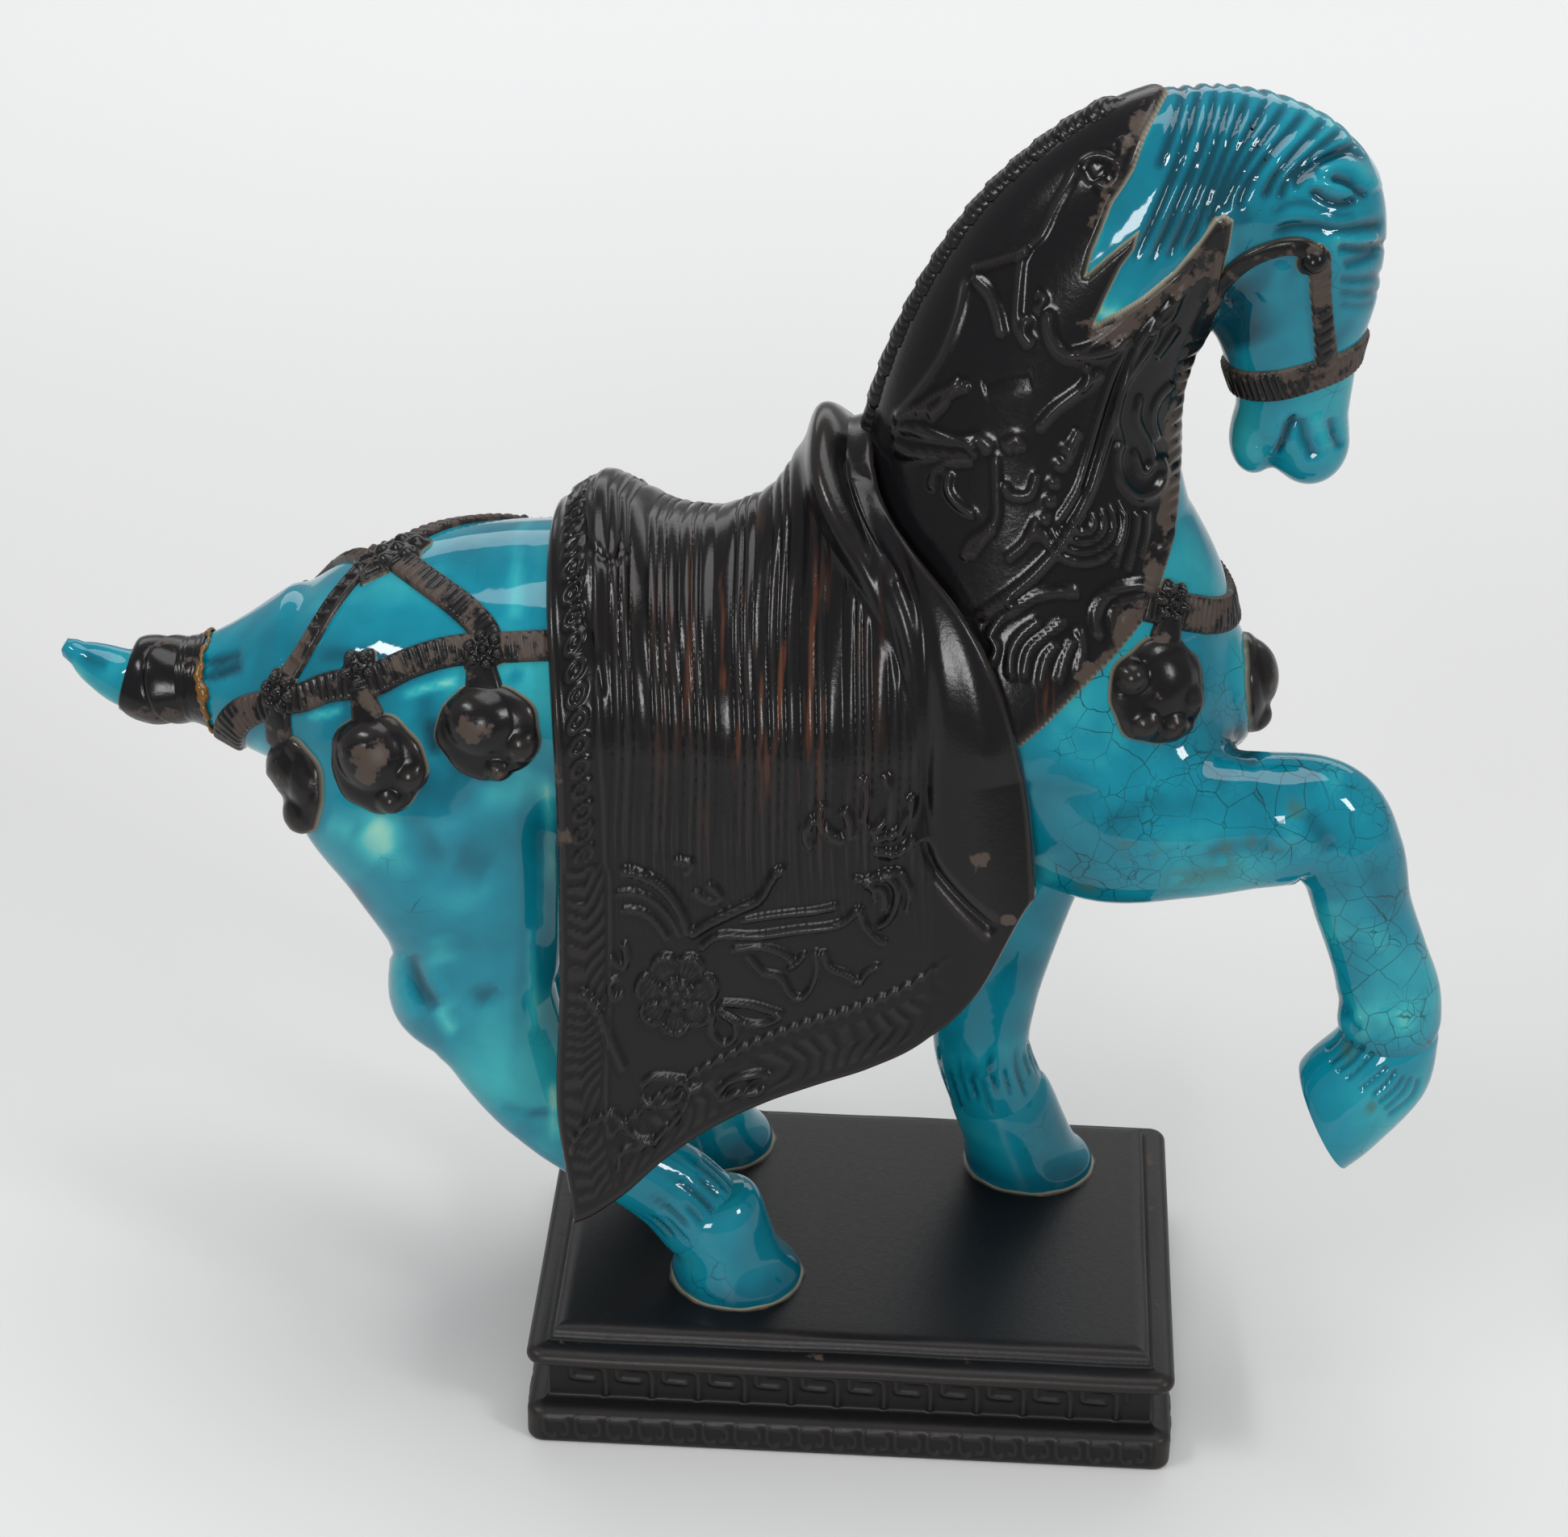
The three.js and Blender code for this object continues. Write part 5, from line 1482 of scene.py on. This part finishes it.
# The braid along the crest: locks that overlap like scales, slanting to each side in turn.
braidLook = {"from": 0.24, "to": 0.8, "rows": 240, "sides": 32, "sink": 1.2, "tall": 2.9, "wide": 4.4,
             "locks": 17, "depth": 0.9}


def makeBraid():
    look = braidLook
    share = np.linspace(0, 1, look["rows"])
    frames = limbFrames("neck", look["from"] + (look["to"] - look["from"]) * share)
    angle = np.linspace(0, 2 * np.pi, look["sides"], endpoint=False)
    taper = (ease(share, 0, 0.05) * ease(1 - share, 0, 0.05))[:, None]
    phase = look["locks"] * share[:, None] + 0.35 * np.cos(angle + np.pi / 4)
    lock = 1 - phase % 1
    size = 0.35 + 0.65 * taper + 0 * angle
    rise = look["depth"] * (lock**0.6 - 0.5) * taper
    fine = 0.16 * np.cos(2 * np.pi * 4 * phase) * taper
    tall = (look["tall"] * size + rise + fine) * np.cos(angle)
    wide = (look["wide"] * size + rise + fine) * np.sin(angle)
    base = frames["centre"] + (frames["half"] + neckLook["proud"] - look["sink"])[:, None] * frames["across"]
    rings = base[:, None] + tall[..., None] * frames["across"][:, None] \
        + wide[..., None] * frames["side"][:, None]
    points, triangles = closedTriangles(rings)
    triangles = outward(points, triangles)
    values = biscuitValues(points, triangles, worn=np.full(len(points), 0.08),
                           polish=np.full(len(points), 0.1))
    addPiece("crestBraid", points, triangles, biscuit, values)


print("making the neck cloth")
makeNeckCloth()
makeBraid()


# Straps of the harness: the drawn line (on a sheet, or in millimetres), widths along it, how far it
# stands out, and its carving: ladder rungs between two rims, or rope-like ribs.
straps = {
    "rumpStrapRear": {
        "sheet": "rump", "line": [(1090, 245), (1045, 290), (990, 350), (925, 430), (865, 525), (815, 610),
                                  (765, 685), (745, 730)],
        "width": (9, 7.2, 6.2, 6.2, 6.2, 6.2, 6.6, 7), "proud": 1.6, "ribs": "ladder", "pitch": 4.4,
    },
    "rumpStrapFront": {
        "sheet": "rump", "line": [(1100, 250), (1130, 295), (1195, 345), (1265, 395), (1335, 448),
                                  (1400, 515), (1425, 575)],
        "width": (9, 8.4, 8.2, 8.2, 8.2, 8, 8), "proud": 1.7, "ribs": "rope", "pitch": 2.7,
    },
    "breeching": {
        "points": [(-167, -1, 186), (-166, -9, 191), (-162, -20, 201), (-156, -28, 208), (-150, -35, 214),
                   (-138, -34, 218), (-129, -42, 225), (-117, -35, 226), (-105, -33, 229), (-88, -33, 231),
                   (-78, -34, 233)],
        "width": (10, 10, 9.5, 8.4, 8.2, 8.4, 9, 8.6, 8.6, 8.6, 8.6), "proud": 1.8, "ribs": "rope",
        "pitch": 2.35,
    },
    "chestStrap": {
        "points": [(70, -34, 249), (77, -29, 246), (84, -23, 242), (91, -15, 238), (95, -6, 236),
                   (96, 1, 235.5)],
        "width": (9, 10, 10.2, 10.2, 10.2, 10.2), "proud": 1.7, "ribs": "rope", "pitch": 1.75,
    },
    "cheekStrap": {
        "sheet": "head", "line": [(560, 985), (600, 895), (650, 832), (720, 775), (800, 738), (880, 718),
                                  (950, 725), (1000, 768)],
        "width": (6, 5.6, 5.2, 5, 5, 5, 5.4, 6), "proud": 1.2, "ribs": "plain", "pitch": 3,
    },
    "bridleStrap": {
        "sheet": "head", "line": [(985, 745), (1008, 800), (1012, 900), (1020, 1000), (1030, 1100),
                                  (1038, 1210), (1040, 1260)],
        "width": (5.5, 6, 5.6, 5.6, 5.8, 6.4, 6.4), "proud": 1.3, "ribs": "twist", "pitch": 3.1,
    },
    "noseband": {
        "points": [(104, 16, 304), (112, 11, 306), (116, 0, 307.5), (113, -10, 306), (105, -15, 304),
                   (96, -14.5, 301), (88, -10, 298.6), (84, 0, 297.4), (88, 10, 298.6), (96, 14.5, 301),
                   (106, 15, 304)],
        "width": (9.2,) * 11, "proud": 1.3, "ribs": "rope", "pitch": 1.7, "oneSided": True,
    },
    "hangerRear": {
        "sheet": "rump", "line": [(742, 745), (742, 790), (745, 850), (750, 900)],
        "width": (8, 8.5, 9, 9), "proud": 1.5, "ribs": "plain", "pitch": 3,
    },
    "hangerMiddle": {
        "sheet": "rump", "line": [(1005, 690), (1015, 740), (1028, 790), (1040, 850)],
        "width": (7, 7.5, 9.5, 11), "proud": 1.6, "ribs": "plain", "pitch": 3,
    },
    "hangerFront": {
        "sheet": "rump", "line": [(1392, 600), (1395, 650), (1402, 700), (1410, 760)],
        "width": (8, 8.5, 10, 11), "proud": 1.6, "ribs": "plain", "pitch": 3,
    },
    "hangerChest": {
        "sheet": "neck", "line": [(778, 1310), (775, 1350), (768, 1390), (762, 1430)],
        "width": (7, 7.5, 9, 10), "proud": 1.8, "ribs": "plain", "pitch": 3,
    },
}
strapLook = {"step": 0.46, "columns": 21, "under": 4, "bury": 1.4}


# A strap's relief at distance along it, and across it from -1 to 1.
def strapRelief(strap, along, across, length):
    outer = np.abs(across)
    relief = strap["proud"] * (1 - outer**8) - 0.9 * ease(outer, 0.86, 1)
    turn = 2 * np.pi * (along / strap["pitch"])
    if strap["ribs"] == "ladder":
        inside = 1 - ease(outer, 0.5, 0.66)
        relief += inside * (-0.75 + 0.9 * (0.5 + 0.5 * np.cos(turn + 0.5 * across))**5)
    elif strap["ribs"] == "rope":
        ridge = np.abs(np.cos(turn / 2 + 0.35 * np.sin(along / 5) + 0.4 * across))
        relief += (0.7 * ridge**0.7 - 0.45) * (1 - ease(outer, 0.76, 0.92))
    elif strap["ribs"] == "twist":
        relief += 0.4 * (1 - outer**2) - 0.35 * (0.5 + 0.5 * np.cos(turn + 2.4 * across))**4
    else:
        relief += 0.5 * (1 - outer**2)
    ending = ease(along, 0, 1.2) * ease(length - along, 0, 1.2)
    return relief * ending - 0.8 * (1 - ending)


def makeStrap(name):
    strap, look = straps[name], strapLook
    path = np.array(strap["points"], float) if "points" in strap else skinAt(strap["sheet"], strap["line"])
    spots = np.linspace(0, 1, 400)
    fine = seated(curveAt(path, spots))
    travel = np.concatenate([[0], np.cumsum(np.linalg.norm(np.diff(fine, axis=0), axis=1))])
    count = int(travel[-1] / look["step"])
    even = np.interp(np.linspace(0, travel[-1], count), travel, spots)
    centre = seated(curveAt(path, even))
    for _ in range(12):
        centre[1:-1] = (centre[:-2] + 2 * centre[1:-1] + centre[2:]) / 4
    along = unit(np.gradient(centre, axis=0))
    over = unit(np.cross(fieldNormals(centre), along))
    across = np.linspace(-1, 1, look["columns"])
    width = curveAt(strap["width"], even) / 2
    grid = centre[:, None] + over[:, None] * (across * width[:, None])[..., None]
    flat = seated(grid.reshape(-1, 3), 3)
    normals = fieldNormals(flat)
    s, v = np.broadcast_arrays(np.linspace(0, travel[-1], count)[:, None], across[None])
    relief = strapRelief(strap, s, v, travel[-1])
    top = (flat + relief.reshape(-1, 1) * normals).reshape(grid.shape)
    low = (flat - look["bury"] * normals).reshape(grid.shape)
    columns = np.linspace(look["columns"] - 1, 0, look["under"]).astype(int)
    rings = np.concatenate([top, low[:, columns]], 1)
    level = np.concatenate([relief, np.full((count, look["under"]), -1.0)], 1)
    points, triangles = closedTriangles(rings)
    triangles = outward(points, triangles)
    level = np.append(level.ravel(), [0, 0])
    values = biscuitValues(points, triangles, 0.2, worn=np.full(len(points), 0.43),
                           edge=0.6 * np.exp(-((level - 0.2) / 0.3)**2), polish=np.full(len(points), 0.06))
    for side, label in ((1, "Near"), (-1, "Far")):
        if side == 1 or not strap.get("oneSided"):
            turned = triangles if side == 1 else triangles[:, ::-1]
            addPiece(name + label, points * [1, side, 1], turned, biscuit, values)


# Bosses: where they sit, how far they reach, their balls as (right, down, radius, height), and how
# high their flat foot stands. Units are millimetres, seen from the side.
bosses = {
    "bellRear": {
        "sheet": "rump", "at": (803, 1005), "reach": 14, "foot": 3.4, "wobble": 0.04,
        "balls": [(-3, -3, 9, 6.4), (6, -2, 6.5, 4.6), (4, 8, 5.5, 4.8)],
    },
    "bellMiddle": {
        "sheet": "rump", "at": (1058, 950), "reach": 13.4, "foot": 3.6, "wobble": 0.04,
        "balls": [(-1, -2.5, 9.6, 6.6), (4, 9, 4, 5), (9, 2.5, 4.5, 4.4)],
    },
    "bellFront": {
        "sheet": "rump", "at": (1418, 848), "reach": 13.4, "foot": 3.6, "wobble": 0.04,
        "balls": [(-2, -3, 9, 6.6), (2.5, 9.5, 4, 5.2), (8, 3, 5, 4.6)],
    },
    "bellChest": {
        "sheet": "neck", "at": (755, 1530), "reach": 14, "foot": 3.4, "wobble": 0.05,
        "balls": [(-8.5, -4.5, 4.4, 5.4), (1, -2, 9, 5.2), (8, 3, 5, 4.8), (-4, 8, 4.6, 4.6),
                  (3, 9, 4.6, 4.8)],
    },
    "bellCentre": {
        "points": (95, 0, 212), "reach": 13.4, "foot": 3.4, "wobble": 0.04, "oneSided": True,
        "balls": [(0, -2, 9.4, 6.4), (-5, 8, 4.4, 4.8), (5, 8, 4.4, 4.8)],
    },
    "rosetteRear": {
        "sheet": "rump", "at": (748, 722), "reach": 6, "foot": 2.2, "wobble": 0.14, "petals": 6,
    },
    "rosetteMiddle": {
        "sheet": "rump", "at": (1004, 650), "reach": 5.6, "foot": 2.2, "wobble": 0.14, "petals": 5,
    },
    "rosetteFront": {
        "sheet": "rump", "at": (1405, 590), "reach": 6, "foot": 2.2, "wobble": 0.14, "petals": 6,
    },
    "rosetteChest": {
        "sheet": "neck", "at": (778, 1312), "reach": 5.6, "foot": 2.6, "wobble": 0.14, "petals": 6,
    },
    "rumpKnot": {
        "points": (-124, 0, 243), "reach": 8, "foot": 2.0, "wobble": 0.12, "petals": 5,
        "oneSided": True,
    },
    "bridleBoss": {
        "sheet": "head", "at": (985, 775), "reach": 4.4, "foot": 1.2, "wobble": 0.05,
        "balls": [(0, 0, 3.3, 3.4)],
    },
}
bossLook = {"rings": 30, "sides": 60, "bury": 1.8, "petal": 0.3, "seed": 0.27, "melt": 5}


def bossBalls(boss):
    if "balls" in boss:
        return boss["balls"]
    reach = boss["reach"]
    turn = 2 * np.pi * np.arange(boss["petals"]) / boss["petals"] + 0.3
    out = reach * 0.62
    petals = [(out * np.cos(a), out * np.sin(a), reach * bossLook["petal"], boss["foot"] + 1.1) for a in turn]
    return petals + [(0, 0, reach * bossLook["seed"], boss["foot"] + 1.3)]


def makeBoss(name):
    boss, look = bosses[name], bossLook
    spot = np.array([boss["points"]], float) if "points" in boss else skinAt(boss["sheet"], [boss["at"]])
    spot = seated(spot)[0]
    normal = fieldNormals(spot[None])[0]
    right, below, _ = viewRows()
    if "points" in boss:
        right = np.array([0, 1, 0]) if normal[0] > 0.5 else np.array([1, 0, 0])
        below = np.array([0, 0, -1]) if normal[0] > 0.5 else np.array([0, 1, 0])
    right = unit(right - (right @ normal) * normal)
    below = unit(below - (below @ normal) * normal - (below @ right) * right)
    angle = np.linspace(0, 2 * np.pi, look["sides"], endpoint=False)[None]
    rim = boss["reach"] * (1 + boss["wobble"] * (0.6 * np.sin(5 * angle + spot[0]) + 0.4 * np.sin(9 * angle)))
    if "petals" in boss:
        rim = boss["reach"] * (1 + boss["wobble"] * np.cos(boss["petals"] * (angle - 0.3)))
    radius = np.linspace(1.07, 0.01, look["rings"])[:, None] * rim
    x, y = radius * np.cos(angle), radius * np.sin(angle)
    flat = (spot + x[..., None] * right + y[..., None] * below).reshape(-1, 3)
    flat = seated(flat, 5)
    normals = fieldNormals(flat)
    inside = rim - radius
    # A low dome for the whole boss, into which the balls melt: a soft maximum of their heights.
    heights = [boss["foot"] * np.sqrt(np.clip(1 - (radius / rim)**4, 0, 1))]
    for ballX, ballY, size, height in bossBalls(boss):
        near = np.clip(1 - ((x - ballX)**2 + (y - ballY)**2) / size**2, 0, 1)
        heights.append(height * np.sqrt(near))
    relief = (np.array(heights)**look["melt"]).sum(0)**(1 / look["melt"]) - 1.2 * ease(-inside, -0.2, 0.9)
    facing = unit(normals + 0.6 * normal)
    top = (flat + relief.reshape(-1, 1) * facing).reshape(look["rings"], -1, 3)
    low = (flat - look["bury"] * normals).reshape(look["rings"], -1, 3)[::9][::-1]
    rings = np.concatenate([low, top])
    points, triangles = closedTriangles(rings)
    triangles = outward(points, triangles)
    level = np.concatenate([np.full((len(low), look["sides"]), -1.0), relief])
    level = np.append(level.ravel(), [-1, 3])
    worn = 0.3 + 0.12 * ease(level, 3.5, 6)
    values = biscuitValues(points, triangles, 0.16, worn=worn, edge=0.6 * np.exp(-((level - 0.15) / 0.35)**2),
                           polish=np.full(len(points), 0.1))
    for side, label in ((1, "Near"), (-1, "Far")):
        if side == 1 or not boss.get("oneSided"):
            turned = triangles if side == 1 else triangles[:, ::-1]
            addPiece(name + label, points * [1, side, 1], turned, biscuit, values)


# The bandage round the tail: turns that overlap, like a slanting saw tooth along the tail.
wrapLook = {
    "from": 0.224, "to": 0.585, "rows": 96, "sides": 84, "turns": 2.1, "slant": 0.5, "proud": 1.5,
    "fold": 1.4, "barrel": 1.2, "over": 0.5,
}


# How far the horse's skin lies outside a limb's own surface, at each frame and angle.
def skinOver(frames, angle):
    reach = np.linspace(-1, 6, 36)
    tall = (frames["half"][:, None, None] + reach) * np.cos(angle)[:, None]
    wide = (frames["wide"][:, None, None] + reach) * np.sin(angle)[:, None]
    spots = frames["centre"][:, None, None] + tall[..., None] * frames["across"][:, None, None] \
        + wide[..., None] * frames["side"][:, None, None]
    outside = horseField(spots.reshape(-1, 3)).reshape(tall.shape) > 0
    return reach[np.argmax(outside, axis=2)]


def makeTailWrap():
    look = wrapLook
    share = np.linspace(0, 1, look["rows"])[:, None]
    angle = np.linspace(0, 2 * np.pi, look["sides"], endpoint=False)[None]
    frames = limbFrames("tail", look["from"] + (look["to"] - look["from"]) * share[:, 0])
    phase = look["turns"] * share + look["slant"] * np.sin(angle + 0.6) + 0.15
    fold = (phase % 1)**0.5 * ease(1 - phase % 1, 0, 0.12)
    ends = ease(share, 0, 0.035) * ease(1 - share, 0, 0.035)
    barrel = look["barrel"] * (4 * share * (1 - share) - 0.5)
    wave = 0.18 * np.sin(3 * angle + 7 * share) + 0.12 * np.sin(5 * angle + 2)
    rolled = look["proud"] + barrel + look["fold"] * (fold - 0.45)
    rolled = np.maximum(rolled, skinOver(frames, angle[0]) + look["over"])
    grow = (rolled + wave) * ends - 1.2 * (1 - ends)
    tall = (frames["half"][:, None] + grow) * np.cos(angle)
    wide = (frames["wide"][:, None] + grow) * np.sin(angle)
    rings = frames["centre"][:, None] + tall[..., None] * frames["across"][:, None] \
        + wide[..., None] * frames["side"][:, None]
    points, triangles = closedTriangles(rings)
    triangles = outward(points, triangles)
    edge = np.append((0.5 * np.exp(-((grow + 0.1) / 0.3)**2)).ravel(), [0, 0])
    low = ease(-points[:, 2], -202, -192)
    values = biscuitValues(points, triangles, 0.25, worn=0.3 + 0.14 * low, edge=edge,
                           polish=np.full(len(points), 0.12))
    addPiece("tailWrap", points, triangles, biscuit, values)


# The old repair at the tail's root: a bead of amber glue that squeezed out round the break.
glueLook = {
    "place": 0.228, "rows": 200, "sides": 10, "colour": (0.14, 0.06, 0.005, 1), "thick": 0.6,
    "blobs": 1.0, "out": 0.5,
}


def makeGlue():
    look = glueLook
    amber, _, _ = newMaterial("amberGlue", Base_Color=look["colour"], Roughness=0.25, IOR=1.5)
    angle = np.linspace(0, 2 * np.pi, look["rows"], endpoint=False)
    frame = limbFrames("tail", np.array([look["place"]]))
    blob = np.exp(-(np.sin((angle + 1.9) / 2) / 0.2)**2)
    blob += 0.5 * np.exp(-(np.sin((angle + 0.6) / 2) / 0.1)**2)
    thick = look["thick"] * (1 + 0.4 * np.sin(13 * angle) + 0.3 * np.sin(29 * angle + 1))
    thick += look["blobs"] * blob
    out = skinOver(frame, angle)[0] + look["out"] + 0.2 * np.sin(7 * angle)
    tall = (frame["half"] + out) * np.cos(angle)
    wide = (frame["wide"] + out) * np.sin(angle)
    shift = 0.5 * np.sin(5 * angle + 1) + 0.3 * np.sin(11 * angle) + 0.9 * blob
    spot = frame["centre"] + tall[:, None] * frame["across"] + wide[:, None] * frame["side"] \
        + shift[:, None] * frame["along"]
    away = unit(tall[:, None] * frame["across"] + wide[:, None] * frame["side"])
    turn = np.linspace(0, 2 * np.pi, look["sides"], endpoint=False)
    rings = spot[:, None] + thick[:, None, None] * (np.cos(turn)[None, :, None] * away[:, None] * 0.8
                                                    + np.sin(turn)[None, :, None] * frame["along"][None])
    points = rings.reshape(-1, 3)
    wrapped = gridFaces(look["rows"] + 1, look["sides"]) % len(points)
    triangles = outward(points, split(wrapped))
    addPiece("tailGlue", points, triangles, amber)


print("making the harness")
for strapName in straps:
    makeStrap(strapName)
for bossName in bosses:
    makeBoss(bossName)
makeTailWrap()
makeGlue()


# The camera stands where the photograph was taken.
def makeCamera():
    lens = bpy.data.cameras.new("camera")
    lens.sensor_width = view["sensor"]
    lens.lens = view["focal"] * view["sensor"] / view["size"][0]
    lens.clip_end = 50
    right, below, ahead = viewRows()
    camera = bpy.data.objects.new("camera", lens)
    turned = Matrix(np.array([right, -below, -ahead]).T.tolist()).to_4x4()
    camera.matrix_world = Matrix.Translation(np.array(view["place"]) / 1000) @ turned
    bpy.context.scene.collection.objects.link(camera)
    bpy.context.scene.camera = camera
    bpy.context.scene.view_settings.view_transform = "Standard"


studio = {
    # the table's colour near and far: its paling towards the back is painted light
    "table": (0.64, 0.64, 0.635, 1),
    "tableFarPaintedLight": (0.86, 0.86, 0.86, 1),
    "tablePaintedLightFade": (0.25, 1.15),
    # the table's edges in metres: left, right, front and back
    "tableEdges": (-2.5, 2.5, -0.55, 4),
    "air": (0.97, 0.98, 1.0, 1),
    "airStrength": 0.36,
    # place, target, width, height, watts
    "lamps": {
        "leftLamp": ((-0.95, -0.55, 1.25), (-0.08, 0, 0.22), 0.6, 0.14, 7),
        "frontLamp": ((-0.12, -1.3, 0.42), (0.05, 0, 0.3), 0.24, 0.36, 5),
        "rightLamp": ((1.25, -0.85, 1.0), (0.1, 0, 0.2), 0.22, 0.5, 8),
        "topLight": ((0.1, 0.1, 1.9), (0, 0, 0.2), 1.4, 1.0, 17),
        "backLight": ((0, 1.9, 1.1), (0, 1.1, 0), 3.0, 0.8, 12),
    },
}


def makeStudio():
    left, right, front, back = studio["tableEdges"]
    mesh = bpy.data.meshes.new("floor")
    mesh.from_pydata([(left, front, 0), (right, front, 0), (right, back, 0), (left, back, 0)], [],
                     [(0, 1, 2, 3)])
    paper, tree, shader = newMaterial("palePaper", Roughness=0.6)
    place = addNode(tree, "ShaderNodeTexCoord").outputs["Object"]
    back = addNode(tree, "ShaderNodeSeparateXYZ", {0: place}).outputs["Y"]
    # Painted light: the floor's colour pales towards the back.
    colour = mixed(tree, spread(tree, back, *studio["tablePaintedLightFade"]), studio["table"], studio["tableFarPaintedLight"])
    tree.links.new(colour, shader.inputs["Base Color"])
    mesh.materials.append(paper)
    floor = bpy.data.objects.new("floor", mesh)
    bpy.context.scene.collection.objects.link(floor)
    world = bpy.data.worlds.new("studioAir")
    world.use_nodes = True
    air = world.node_tree.nodes["Background"]
    air.inputs["Color"].default_value = studio["air"]
    air.inputs["Strength"].default_value = studio["airStrength"]
    bpy.context.scene.world = world
    for name, (place, target, width, height, watts) in studio["lamps"].items():
        lamp = bpy.data.lights.new(name, "AREA")
        lamp.shape, lamp.size, lamp.size_y, lamp.energy = "RECTANGLE", width, height, watts
        obj = bpy.data.objects.new(name, lamp)
        ahead = unit(np.array(target) - place)
        right = unit(np.cross(ahead, [0, 0, 1]))
        turned = Matrix(np.array([right, np.cross(right, ahead), -ahead]).T.tolist()).to_4x4()
        obj.matrix_world = Matrix.Translation(place) @ turned
        bpy.context.scene.collection.objects.link(obj)


print("setting the camera and the lights")
makeCamera()
makeStudio()
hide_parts("horse")
bpy.context.view_layer.update()
